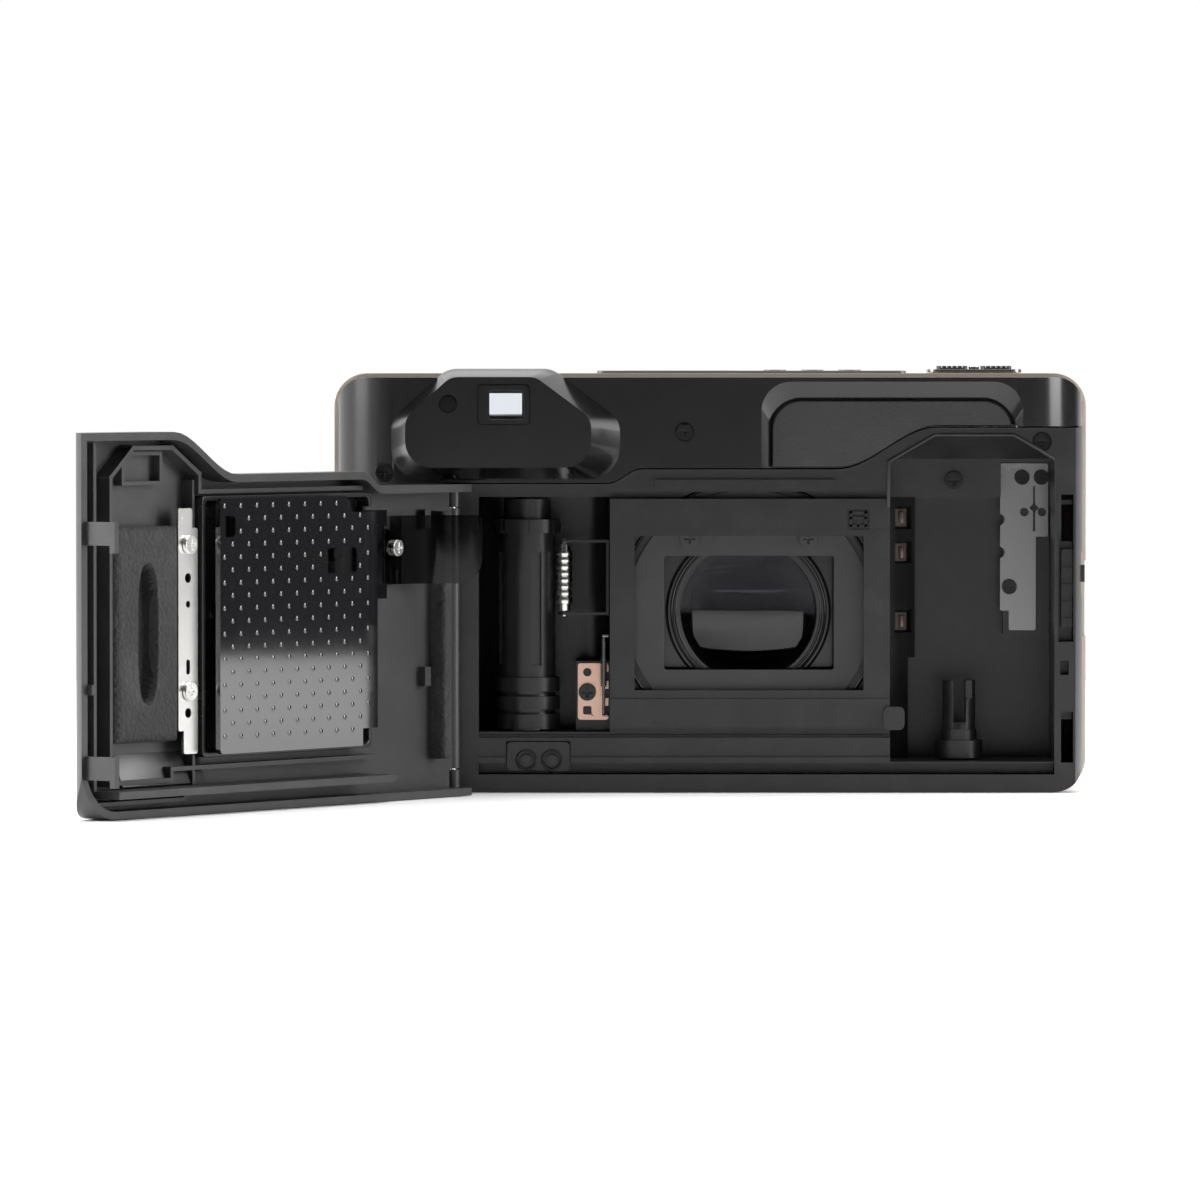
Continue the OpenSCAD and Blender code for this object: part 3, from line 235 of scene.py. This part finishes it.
def buildBrushed(job):
    # fine lines, drawn long by stretching the vector beforehand
    tree, start, end = newGroup(
        "brushedLines",
        [("Vector", "NodeSocketVector", None), ("Scale", "NodeSocketFloat", 900.0)],
        [("Height", "NodeSocketFloat")])
    line = noiseAt(tree, start.outputs["Vector"], start.outputs["Scale"], job["detail"], job["rough"])
    tree.links.new(line, end.inputs["Height"])
    return tree


handled = buildHandled(handledSet)
grain = buildGrain(grainSet)
brushed = buildBrushed(brushedSet)
print("surface groups built")


def finish(name, look):
    # one material: a Principled shader fed by the shared groups
    mat = bpy.data.materials.new(name)
    mat.use_nodes = True
    tree = mat.node_tree
    shader = tree.nodes["Principled BSDF"]
    coord = addNode(tree, "ShaderNodeTexCoord")
    vec = coord.outputs["Object"]
    surface = addNode(tree, "ShaderNodeGroup", node_tree=handled)
    tree.links.new(vec, surface.inputs["Vector"])
    surface.inputs["Color"].default_value = (*look["color"], 1)
    surface.inputs["Dust Color"].default_value = (*look.get("dustColor", (0.30, 0.29, 0.28)), 1)
    surface.inputs["Dust"].default_value = look.get("dust", 0.04)
    surface.inputs["Roughness"].default_value = look["rough"]
    surface.inputs["Smudge"].default_value = look.get("smudge", 0.06)
    tree.links.new(surface.outputs["Color"], shader.inputs["Base Color"])
    tree.links.new(surface.outputs["Roughness"], shader.inputs["Roughness"])
    shader.inputs["Metallic"].default_value = look.get("metal", 0.0)
    shader.inputs["IOR"].default_value = look.get("ior", 1.5)
    shader.inputs["Specular IOR Level"].default_value = look.get("spec", 0.5)
    shader.inputs["Coat Weight"].default_value = look.get("coat", 0.0)
    shader.inputs["Coat Roughness"].default_value = look.get("coatRough", 0.05)
    shader.inputs["Transmission Weight"].default_value = look.get("glass", 0.0)
    bump = addNode(tree, "ShaderNodeBump")
    bump.inputs["Strength"].default_value = look.get("bump", 0.2)
    bump.inputs["Distance"].default_value = look.get("depth", 0.05) * mm
    if "lines" in look:
        mapping = addNode(tree, "ShaderNodeMapping")
        mapping.inputs["Scale"].default_value = look["lines"]
        tree.links.new(vec, mapping.inputs["Vector"])
        relief = addNode(tree, "ShaderNodeGroup", node_tree=brushed)
        tree.links.new(mapping.outputs["Vector"], relief.inputs["Vector"])
        relief.inputs["Scale"].default_value = look.get("scale", 900.0)
    else:
        relief = addNode(tree, "ShaderNodeGroup", node_tree=grain)
        tree.links.new(vec, relief.inputs["Vector"])
        relief.inputs["Scale"].default_value = look.get("scale", 2200.0)
        relief.inputs["Swell"].default_value = look.get("swell", 0.1)
    tree.links.new(relief.outputs["Height"], bump.inputs["Height"])
    tree.links.new(bump.outputs["Normal"], shader.inputs["Normal"])
    return mat


looks = {
    "champagnePaint": {"color": (0.62, 0.53, 0.44), "rough": 0.34, "metal": 0.55, "coat": 0.5,
                       "scale": 5200.0, "bump": 0.12, "depth": 0.02, "dust": 0.01},
    "glossBlack": {"color": (0.005, 0.005, 0.0055), "rough": 0.20, "coat": 0.25, "coatRough": 0.10,
                   "scale": 1500.0, "bump": 0.05, "depth": 0.01, "swell": 0.6, "dust": 0.010},
    "gripGrain": {"color": (0.017, 0.017, 0.018), "rough": 0.44, "scale": 3400.0, "bump": 1.0,
                  "depth": 0.06, "dust": 0.03},
    "chassisSatin": {"color": (0.012, 0.012, 0.013), "rough": 0.33, "scale": 2600.0, "bump": 0.3,
                     "depth": 0.03, "dust": 0.04},
    "doorSatin": {"color": (0.024, 0.024, 0.025), "rough": 0.36, "scale": 2400.0, "bump": 0.3,
                  "depth": 0.03, "dust": 0.05},
    "flatBlack": {"color": (0.010, 0.010, 0.010), "rough": 0.5, "scale": 3000.0, "bump": 0.3,
                  "depth": 0.02},
    "maskGrey": {"color": (0.034, 0.034, 0.036), "rough": 0.40, "scale": 3000.0, "bump": 0.15,
                 "depth": 0.02},
    "barrelBlack": {"color": (0.009, 0.009, 0.010), "rough": 0.20, "coat": 0.4, "scale": 2600.0,
                    "bump": 0.08, "depth": 0.02},
    "plateGloss": {"color": (0.004, 0.004, 0.005), "rough": 0.045, "ior": 2.1, "scale": 700.0,
                   "bump": 0.02, "depth": 0.01, "smudge": 0.02, "dust": 0.006},
    "trayBlack": {"color": (0.012, 0.012, 0.013), "rough": 0.26, "scale": 2600.0, "bump": 0.1,
                  "depth": 0.02},
    "brightNickel": {"color": (0.74, 0.73, 0.71), "rough": 0.25, "metal": 1.0, "lines": (1, 1, 0.12),
                     "scale": 2400.0, "bump": 0.12, "depth": 0.01},
    "brushedSteel": {"color": (0.24, 0.24, 0.24), "rough": 0.26, "metal": 1.0, "lines": (1, 1, 0.06),
                     "scale": 2600.0, "bump": 0.3, "depth": 0.01},
    "darkSteel": {"color": (0.16, 0.16, 0.16), "rough": 0.25, "metal": 1.0, "scale": 2600.0, "bump": 0.1,
                  "depth": 0.01},
    "screwBlack": {"color": (0.010, 0.010, 0.011), "rough": 0.18, "metal": 0.2, "scale": 3000.0,
                   "bump": 0.1, "depth": 0.01},
    "roseCopper": {"color": (0.72, 0.47, 0.37), "rough": 0.30, "metal": 0.9, "lines": (1, 1, 0.1),
                   "scale": 2200.0, "bump": 0.15, "depth": 0.01},
    "brownContact": {"color": (0.17, 0.13, 0.115), "rough": 0.40, "metal": 0.4, "scale": 2600.0,
                     "bump": 0.2, "depth": 0.02},
    "foamBlack": {"color": (0.026, 0.026, 0.026), "rough": 0.95, "scale": 1100.0, "bump": 1.0,
                  "depth": 0.35, "dust": 0.10},
    # darker foam for the floor of the pad's hollow: painted shade where the hollow lies in shadow
    "foamPaintedShade": {"color": (0.008, 0.008, 0.008), "rough": 0.95, "scale": 1100.0, "bump": 1.0,
                    "depth": 0.35, "dust": 0.03},
    "clearGlass": {"color": (0.95, 0.97, 1.0), "rough": 0.02, "glass": 1.0, "bump": 0.0, "dust": 0.0},
    "smokedClear": {"color": (0.12, 0.12, 0.13), "rough": 0.03, "glass": 1.0, "spec": 0.2, "bump": 0.0,
                    "dust": 0.0},
    "flashClear": {"color": (0.95, 0.95, 0.96), "rough": 0.08, "glass": 0.9, "bump": 0.05, "dust": 0.0},
    "coatedGlass": {"color": (0.30, 0.29, 0.32), "rough": 0.01, "glass": 1.0, "ior": 1.5, "spec": 0.10,
                    "bump": 0.0, "dust": 0.0},
    "mirrorMetal": {"color": (0.85, 0.85, 0.86), "rough": 0.10, "metal": 1.0, "bump": 0.05,
                    "scale": 1500.0},
    "lampDark": {"color": (0.008, 0.010, 0.009), "rough": 0.12, "coat": 0.5, "bump": 0.0},
    "boardGreen": {"color": (0.02, 0.12, 0.05), "rough": 0.35, "scale": 1800.0, "bump": 0.3},
    "batteryWrap": {"color": (0.45, 0.30, 0.08), "rough": 0.25, "metal": 0.3, "bump": 0.05},
    "panelGrey": {"color": (0.10, 0.10, 0.105), "rough": 0.30, "scale": 2600.0, "bump": 0.15,
                  "depth": 0.02},
}
paints = {name: finish(name, look) for name, look in looks.items()}

wearing = {
    "champagnePaint": ["front_cover", "battery_door"],
    "glossBlack": ["rear_cover", "lens_trim", "date_panel", "eyepiece_frame"],
    "gripGrain": ["thumb_pad", "zoom_tele", "zoom_wide"],
    "chassisSatin": ["film_chassis", "take_up_spool", "rewind_fork", "finder_tube", "light_box",
                     "battery_tube", "latch_bar", "data_contacts", "roller_bracket"],
    "doorSatin": ["door_shell"],
    "trayBlack": ["plate_tray"],
    "maskGrey": ["aperture_mask", "mask_screws"],
    "barrelBlack": ["lens_base", "rear_cell", "barrier_upper", "barrier_lower", "lens_barrel_large",
                    "lens_barrel_small"],
    "plateGloss": ["pressure_plate"],
    "brightNickel": ["pad_bracket", "door_screws", "film_roller", "hinge_pin", "tripod_socket", "strap_lug",
                     "shutter_button"],
    "brushedSteel": ["guide_plate", "wind_motor", "release_bezel"],
    "darkSteel": ["film_wire"],
    "screwBlack": ["cover_screws", "chamber_screws", "guide_plate_screws", "contact_plate_screw"],
    "roseCopper": ["contact_plate"],
    "brownContact": ["dx_contacts"],
    "foamBlack": ["door_seal", "cassette_pad"],
    "clearGlass": ["eyepiece_lens", "finder_window"],
    "smokedClear": ["film_leaf", "af_window"],
    "flashClear": ["flash_window"],
    "coatedGlass": ["front_glass", "rear_glass"],
    "mirrorMetal": ["flash_reflector"],
    "lampDark": ["finder_lamp"],
    "boardGreen": ["main_board"],
    "batteryWrap": ["battery"],
    "panelGrey": ["top_panel"],
}


edgeSet = {"join": 0.002, "flat": 0.6, "steps": 2, "corner": 28, "width": 0.08}


def smoothTree():
    # a modifier tree that shades a node's mesh smooth and leaves the mesh itself alone
    tree = bpy.data.node_groups.new("roundedShade", "GeometryNodeTree")
    tree.interface.new_socket("Geometry", in_out="INPUT", socket_type="NodeSocketGeometry")
    tree.interface.new_socket("Geometry", in_out="OUTPUT", socket_type="NodeSocketGeometry")
    start = tree.nodes.new("NodeGroupInput")
    end = tree.nodes.new("NodeGroupOutput")
    shade = tree.nodes.new("GeometryNodeSetShadeSmooth")
    tree.links.new(start.outputs[0], shade.inputs["Geometry"])
    tree.links.new(shade.outputs["Geometry"], end.inputs[0])
    return tree


roundedShade = smoothTree()


def softenEdges(obj, width):
    # joins the loose triangles, then gives every edge the small radius of a moulding
    weld = obj.modifiers.new("joinCorners", "WELD")
    weld.merge_threshold = edgeSet["join"] * mm
    flat = obj.modifiers.new("mergeFlats", "DECIMATE")
    flat.decimate_type = "DISSOLVE"
    flat.angle_limit = math.radians(edgeSet["flat"])
    edge = obj.modifiers.new("edgeRadius", "BEVEL")
    edge.width = width * mm
    edge.segments = edgeSet["steps"]
    edge.limit_method = "ANGLE"
    edge.angle_limit = math.radians(edgeSet["corner"])
    edge.use_clamp_overlap = True
    shade = obj.modifiers.new("roundedShade", "NODES")
    shade.node_group = roundedShade
    normals = obj.modifiers.new("evenNormals", "WEIGHTED_NORMAL")
    normals.keep_sharp = True


edgeWidths = {"film_chassis": 0.24, "rear_cover": 0.35, "front_cover": 0.3, "door_shell": 0.24,
              "plate_tray": 0.2, "pad_bracket": 0.12, "guide_plate": 0.1}
for paintName, nodeNames in wearing.items():
    for nodeName in nodeNames:
        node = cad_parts[nodeName]
        node.data.materials.clear()
        node.data.materials.append(paints[paintName])
        softenEdges(node, edgeWidths.get(nodeName, edgeSet["width"]))
print("finishes on", sum(len(v) for v in wearing.values()), "nodes")

meshSet = {"join": 0.001, "crease": 42, "doorHinge": (-54.5, -24.0, 0.0), "doorOpen": 126.0}


def openDoor():
    # the turn that takes a point of the shut door to where the door stands
    hinge = Vector(meshSet["doorHinge"]) * mm
    turn = Matrix.Rotation(math.radians(-meshSet["doorOpen"]), 4, "Z")
    return Matrix.Translation(hinge) @ turn @ Matrix.Translation(-hinge)


def addPiece(name, bm, paintName, body, opened=False, smooth=True):
    # makes an object of the mesh, painted and given its body
    bmesh.ops.remove_doubles(bm, verts=bm.verts, dist=meshSet["join"] * mm)
    bmesh.ops.recalc_face_normals(bm, faces=bm.faces)
    if opened:
        bmesh.ops.transform(bm, matrix=openDoor(), verts=bm.verts)
    mesh = bpy.data.meshes.new(name)
    bm.to_mesh(mesh)
    bm.free()
    if smooth:
        mesh.shade_smooth()
        mesh.set_sharp_from_angle(angle=math.radians(meshSet["crease"]))
    piece = bpy.data.objects.new(name, mesh)
    scene.collection.objects.link(piece)
    mesh.materials.append(paints[paintName])
    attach(piece, body)
    return piece


dimpleSet = {"left": -17.8, "right": 34.6, "low": 12.1, "high": 63.9, "face": -15.8, "pitch": 5.3,
             "row": 2.6, "radius": 0.55, "rise": 0.155, "lift": 0.02, "edge": 1.5, "leftEdge": 0.9,
             "gaps": [(-18, -7.0, 59.9, 65), (-18, -12.4, 11, 16.1), (-11.4, -0.4, 47.4, 53.8),
                      (29.0, 33.4, 55.4, 61.0)]}


def addDimples(job):
    # staggered rows of low bosses, left out at the plate's notches and windows
    bm = bmesh.new()
    rows = int((job["high"] - job["low"] - 2 * job["edge"]) / job["row"]) + 1
    for rowNo in range(rows):
        z = job["high"] - job["edge"] - rowNo * job["row"]
        x = job["right"] - job["edge"] - (rowNo % 2) * job["pitch"] / 2
        while x > job["left"] + job["leftEdge"]:
            if not any(a < x < b and c < z < d for a, b, c, d in job["gaps"]):
                place = Matrix.Translation(Vector((x, job["face"] + job["lift"], z)) * mm)
                size = Matrix.Diagonal((job["radius"] * mm, job["rise"] * mm, job["radius"] * mm, 1.0))
                bmesh.ops.create_uvsphere(bm, u_segments=12, v_segments=8, radius=1.0, matrix=place @ size)
            x -= job["pitch"]
    return addPiece("plateDimples", bm, "plateGloss", "pressure_plate", opened=True)


addDimples(dimpleSet)
print("dimples on the pressure plate")


# the dent's floor value sets how much of the hollow is painted darker as shade
padSet = {"x": (43.9, 64.1), "z": (15.1, 58.5), "back": -23.1, "face": -18.7, "edge": 1.7,
          "steps": (84, 180), "rough": 0.10, "grain": 1.3,
          "dent": {"at": (54.1, 36.9), "half": (3.2, 14.6), "deep": 3.3, "slope": 0.45, "floor": 0.8}}
sealSet = {"x": (-48.0, -45.5), "z": (8.0, 60.0), "back": -23.1, "face": -19.3, "edge": 0.7,
           "steps": (10, 200), "rough": 0.12, "grain": 1.6, "dent": None}
skinSet = {"least": 0.4, "layers": (3.1, 7.7), "finer": 2.1, "fineShare": 0.5, "mean": 0.75, "swing": 0.5}


def acrossDent(dent, x, z):
    # 0 at the middle of the pressed hollow and 1 at its rim
    a = (x - dent["at"][0]) / dent["half"][0]
    b = (z - dent["at"][1]) / dent["half"][1]
    return a * a + b ** 4


def foamDrop(job, x, z):
    # how far the rounded edge and the hollow lie below the block's face
    (x0, x1), (z0, z1) = job["x"], job["z"]
    rim = min(x - x0, x1 - x, z - z0, z1 - z)
    drop = 0.0
    if rim < job["edge"]:
        drop = job["edge"] * (1 - math.sqrt(max(0.0, 1 - (1 - rim / job["edge"]) ** 2)))
    if job["dent"]:
        far = acrossDent(job["dent"], x, z)
        if far < 1:
            slope = min(1.0, (1 - far) / job["dent"]["slope"])
            drop += job["dent"]["deep"] * slope * slope * (3 - 2 * slope)
    return drop


def foamBlock(name, job, standsFor):
    # a cut block of foam: rounded edges, a pressed hollow with painted shade on its floor, and an uneven
    # open skin
    (x0, x1), (z0, z1) = job["x"], job["z"]
    nx, nz = job["steps"]
    bm = bmesh.new()
    bmesh.ops.create_grid(bm, x_segments=nx, y_segments=nz, size=0.5)
    depth = job["face"] - job["back"]
    coarse, fine = skinSet["layers"]
    for vert in bm.verts:
        u, w = vert.co.x + 0.5, vert.co.y + 0.5
        x, z = x0 + (x1 - x0) * u, z0 + (z1 - z0) * w
        skin = noise.noise(Vector((x, z, coarse)) * job["grain"])
        skin += skinSet["fineShare"] * noise.noise(Vector((z, x, fine)) * job["grain"] * skinSet["finer"])
        uneven = job["rough"] * (skinSet["mean"] + skin * skinSet["swing"])
        y = job["back"] + max(skinSet["least"], depth - foamDrop(job, x, z) - uneven)
        vert.co = Vector((x, y, z)) * mm
    # faces near the middle of the hollow take the second, darker foam paint: painted shade
    if job["dent"]:
        for part in bm.faces:
            spot = part.calc_center_median() / mm
            part.material_index = 1 if acrossDent(job["dent"], spot.x, spot.z) < job["dent"]["floor"] else 0
    rim = [e for e in bm.edges if e.is_boundary]
    made = bmesh.ops.extrude_edge_only(bm, edges=rim)
    low = [g for g in made["geom"] if isinstance(g, bmesh.types.BMVert)]
    for vert in low:
        vert.co.y = job["back"] * mm
    bmesh.ops.holes_fill(bm, edges=[e for e in bm.edges if e.is_boundary], sides=0)
    block = addPiece(name, bm, "foamBlack", "back_door", opened=True)
    # the second paint is the painted shade for the hollow's floor
    if job["dent"]:
        block.data.materials.append(paints["foamPaintedShade"])
    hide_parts(standsFor)
    return block


foamBlock("cassetteFoam", padSet, "cassette_pad")
foamBlock("hingeFoam", sealSet, "door_seal")
print("foam pieces")


leafSet = {"at": -30.3, "low": 45.0, "high": 59.3, "corner": 5.6, "topCorner": 1.2, "thick": 0.42,
           "steps": 8, "across": 22,
           "line": [(4.0, -21.05), (-2.95, -21.05), (-6.45, -19.9), (-9.6, -17.95), (-12.15, -15.2),
                    (-14.1, -12.1), (-15.15, -9.3)]}


def curveThrough(points, steps):
    # an even curve through the given points
    out = []
    ends = [points[0]] + points + [points[-1]]
    for k in range(1, len(ends) - 2):
        p0, p1, p2, p3 = (Vector(p) for p in ends[k - 1:k + 3])
        for step in range(steps):
            t = step / steps
            out.append(0.5 * (2 * p1 + (p2 - p0) * t + (2 * p0 - 5 * p1 + 4 * p2 - p3) * t * t
                              + (3 * p1 - p0 - 3 * p2 + p3) * t ** 3))
    out.append(Vector(points[-1]))
    return out


def cornerTrim(radius, left):
    # how far a rounded corner cuts in at a distance left from the end
    if left >= radius:
        return 0.0
    return radius - math.sqrt(radius ** 2 - (radius - left) ** 2)


def addLeaf(job):
    # curved strip of smoked plastic with two rounded corners at its free end
    bm = bmesh.new()
    line = curveThrough(job["line"], job["steps"])
    far = [0.0]
    for a, b in zip(line, line[1:]):
        far.append(far[-1] + (b - a).length)
    rows = []
    for spot, run in zip(line, far):
        left = far[-1] - run
        lo = job["low"] + cornerTrim(job["corner"], left)
        hi = job["high"] - cornerTrim(job["topCorner"], left)
        heights = [lo + (hi - lo) * k / job["across"] for k in range(job["across"] + 1)]
        rows.append([bm.verts.new(Vector((job["at"] + spot.x, spot.y, z)) * mm) for z in heights])
    for a, b in zip(rows, rows[1:]):
        for k in range(job["across"]):
            bm.faces.new((a[k], b[k], b[k + 1], a[k + 1]))
    bmesh.ops.recalc_face_normals(bm, faces=bm.faces)
    bmesh.ops.solidify(bm, geom=bm.faces[:], thickness=job["thick"] * mm)
    leaf = addPiece("clearLeaf", bm, "smokedClear", "back_door", opened=True)
    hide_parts("film_leaf")
    return leaf


addLeaf(leafSet)


def lathe(bm, outline, centre, steps=72):
    # turns (radius, y) points about an axis along Y
    verts = [bm.verts.new(Vector((centre[0] + r, y, centre[1])) * mm) for r, y in outline]
    edges = [bm.edges.new(pair) for pair in zip(verts, verts[1:])]
    bmesh.ops.spin(bm, geom=verts + edges, cent=Vector((centre[0], 0, centre[1])) * mm, axis=(0, 1, 0),
                   angle=math.tau, steps=steps, use_merge=True, use_duplicate=False)


def bead(radius, y, thick, sides=8):
    # outline of a round wire bent to a ring
    turns = [math.tau * k / sides for k in range(sides + 1)]
    return [(radius + thick * math.cos(a), y + thick * math.sin(a)) for a in turns]


innerGlassSet = {"centre": (8.2, 38.0), "radius": 9.5, "face": -1.4, "sag": 1.6, "back": 1.6, "rings": 12}


def addInnerGlass(job):
    # the smaller lens element deep in the rear cell
    bm = bmesh.new()
    outline = [(job["radius"] * k / job["rings"], job["face"] + job["sag"] * (k / job["rings"]) ** 2)
               for k in range(job["rings"] + 1)]
    outline += [(job["radius"], job["back"]), (0.0, job["back"])]
    lathe(bm, outline, job["centre"])
    return addPiece("innerGlass", bm, "coatedGlass", "zoom_small")


addInnerGlass(innerGlassSet)

ringSet = {"centre": (8.2, 38.0), "steps": 96,
           "rings": [(16.4, -6.3, 0.22), (15.6, -6.15, 0.16), (17.3, -4.3, 0.2), (9.95, -1.75, 0.14)]}


def addRings(job):
    # thin turned beads on the rear cell that catch the light
    bm = bmesh.new()
    for radius, y, thick in job["rings"]:
        lathe(bm, bead(radius, y, thick), job["centre"], job["steps"])
    return addPiece("cellBeads", bm, "barrelBlack", "zoom_small")


addRings(ringSet)
print("leaf, inner glass and beads")

rampSet = {"x": (33.0, 60.0), "points": [(-23.2, 13.0), (-23.2, 6.2), (-20.7, 6.2)], "bevel": 0.3}
pinSet = {"x": (-39.0, -33.6), "z": 7.0, "face": -17.35, "radius": 2.0, "thick": 0.2, "steps": 40}


def addRamp(job):
    # sloping foot of the door lining below the cassette pad
    bm = bmesh.new()
    ends = [[bm.verts.new(Vector((x, y, z)) * mm) for y, z in job["points"]] for x in job["x"]]
    for end in ends:
        bm.faces.new(end)
    for k in range(3):
        n = (k + 1) % 3
        bm.faces.new((ends[0][k], ends[0][n], ends[1][n], ends[1][k]))
    bmesh.ops.bevel(bm, geom=bm.edges[:], offset=job["bevel"] * mm, segments=2, profile=0.5, affect="EDGES",
                    material=-1)
    return addPiece("doorRamp", bm, "doorSatin", "back_door", opened=True)


def addPinRings(job):
    # raised rings round the two pins that feed the data panel
    bm = bmesh.new()
    for x in job["x"]:
        lathe(bm, bead(job["radius"], job["face"], job["thick"]), (x, job["z"]), job["steps"])
    return addPiece("contactRings", bm, "trayBlack", "camera")


addRamp(rampSet)
addPinRings(pinSet)
print("ramp and contact rings")

sensorSet = {"x": (29.5, 33.1), "z": (56.3, 59.6), "floor": -14.65, "face": -15.3, "rail": 0.5}
lipSet = {"line": [(37.65, 60.5), (37.65, 70.2), (47.4, 75.85), (64.3, 75.85), (72.9, 70.8)], "wide": 0.7,
          "face": -17.25, "foot": -16.4, "bevel": 0.12}


def addSensor(job):
    # small framed block with a bar across, in the corner of the film frame
    bm = bmesh.new()
    (x0, x1), (z0, z1), rail = job["x"], job["z"], job["rail"]
    mid = (z0 + z1) / 2
    bars = [(x0, x0 + rail, z0, z1), (x1 - rail, x1, z0, z1), (x0, x1, z1 - rail, z1),
            (x0, x1, z0, z0 + rail), (x0, x1, mid, mid + rail),
            ((x0 + x1 - rail) / 2, (x0 + x1 + rail) / 2, z0, mid)]
    for a, b, c, d in bars:
        centre = Vector(((a + b) / 2, (job["floor"] + job["face"]) / 2, (c + d) / 2)) * mm
        size = Matrix.Diagonal(((b - a) * mm, (job["floor"] - job["face"]) * mm, (d - c) * mm, 1.0))
        bmesh.ops.create_cube(bm, size=1.0, matrix=Matrix.Translation(centre) @ size)
    return addPiece("gateSensor", bm, "trayBlack", "camera", smooth=False)


def addLip(job):
    # raised rim round the top of the cassette chamber
    bm = bmesh.new()
    line = [Vector(p) for p in job["line"]]
    rows = []
    for k, spot in enumerate(line):
        before = (spot - line[k - 1]).normalized() if k else (line[1] - spot).normalized()
        after = (line[k + 1] - spot).normalized() if k < len(line) - 1 else before
        way = (before + after).normalized()
        out = Vector((-way.y, way.x)) * job["wide"] / 2 / max(0.5, way.dot(before))
        rows.append([bm.verts.new(Vector((p.x, y, p.y)) * mm)
                     for p, y in ((spot - out, job["foot"]), (spot - out, job["face"]),
                                  (spot + out, job["face"]), (spot + out, job["foot"]))])
    for a, b in zip(rows, rows[1:]):
        for k in range(4):
            n = (k + 1) % 4
            bm.faces.new((a[k], a[n], b[n], b[k]))
    bm.faces.new(rows[0])
    bm.faces.new(rows[-1])
    bmesh.ops.bevel(bm, geom=bm.edges[:], offset=job["bevel"] * mm, segments=2, profile=0.5, affect="EDGES",
                    material=-1)
    return addPiece("chamberLip", bm, "chassisSatin", "camera")


addSensor(sensorSet)
addLip(lipSet)
print("frame sensor and chamber rim")

coilSet = {"x": -22.6, "y": -13.5, "low": 22.4, "high": 32.4, "turn": 0.62, "wire": 0.13, "pitch": 0.42,
           "sides": 7, "perTurn": 14}


def addCoil(job):
    # close-wound spring on an upright axis
    bm = bmesh.new()
    count = int((job["high"] - job["low"]) / job["pitch"] * job["perTurn"])
    around = [math.tau * m / job["sides"] for m in range(job["sides"])]
    up = Vector((0, 0, 1))
    loops = []
    for k in range(count + 1):
        a = math.tau * k / job["perTurn"]
        out = Vector((math.cos(a), math.sin(a), 0))
        height = job["low"] + job["pitch"] * k / job["perTurn"]
        spot = Vector((job["x"], job["y"], height)) + out * job["turn"]
        loops.append([bm.verts.new((spot + (out * math.cos(b) + up * math.sin(b)) * job["wire"]) * mm)
                      for b in around])
    for a, b in zip(loops, loops[1:]):
        for m in range(job["sides"]):
            n = (m + 1) % job["sides"]
            bm.faces.new((a[m], a[n], b[n], b[m]))
    bm.faces.new(loops[0])
    bm.faces.new(list(reversed(loops[-1])))
    return addPiece("guideSpring", bm, "darkSteel", "camera")


addCoil(coilSet)
print("spring")

floorSet = {"half": (0.95, 1.35), "at": (-0.20, -0.75), "color": (0.93, 0.93, 0.93), "rough": 0.6,
            "dust": 0.0, "dustColor": (0.9, 0.9, 0.9), "bump": 0.02, "scale": 400.0}


def addFloor(job):
    # pale paper under and in front of the camera
    mesh = bpy.data.meshes.new("studioFloor")
    bm = bmesh.new()
    bmesh.ops.create_grid(bm, x_segments=1, y_segments=1, size=1.0)
    for vert in bm.verts:
        vert.co.x = vert.co.x * job["half"][0] + job["at"][0]
        vert.co.y = vert.co.y * job["half"][1] + job["at"][1]
    bm.to_mesh(mesh)
    bm.free()
    floor = bpy.data.objects.new("studioFloor", mesh)
    scene.collection.objects.link(floor)
    mesh.materials.append(finish("studioPaper", job))


addFloor(floorSet)
print("floor")
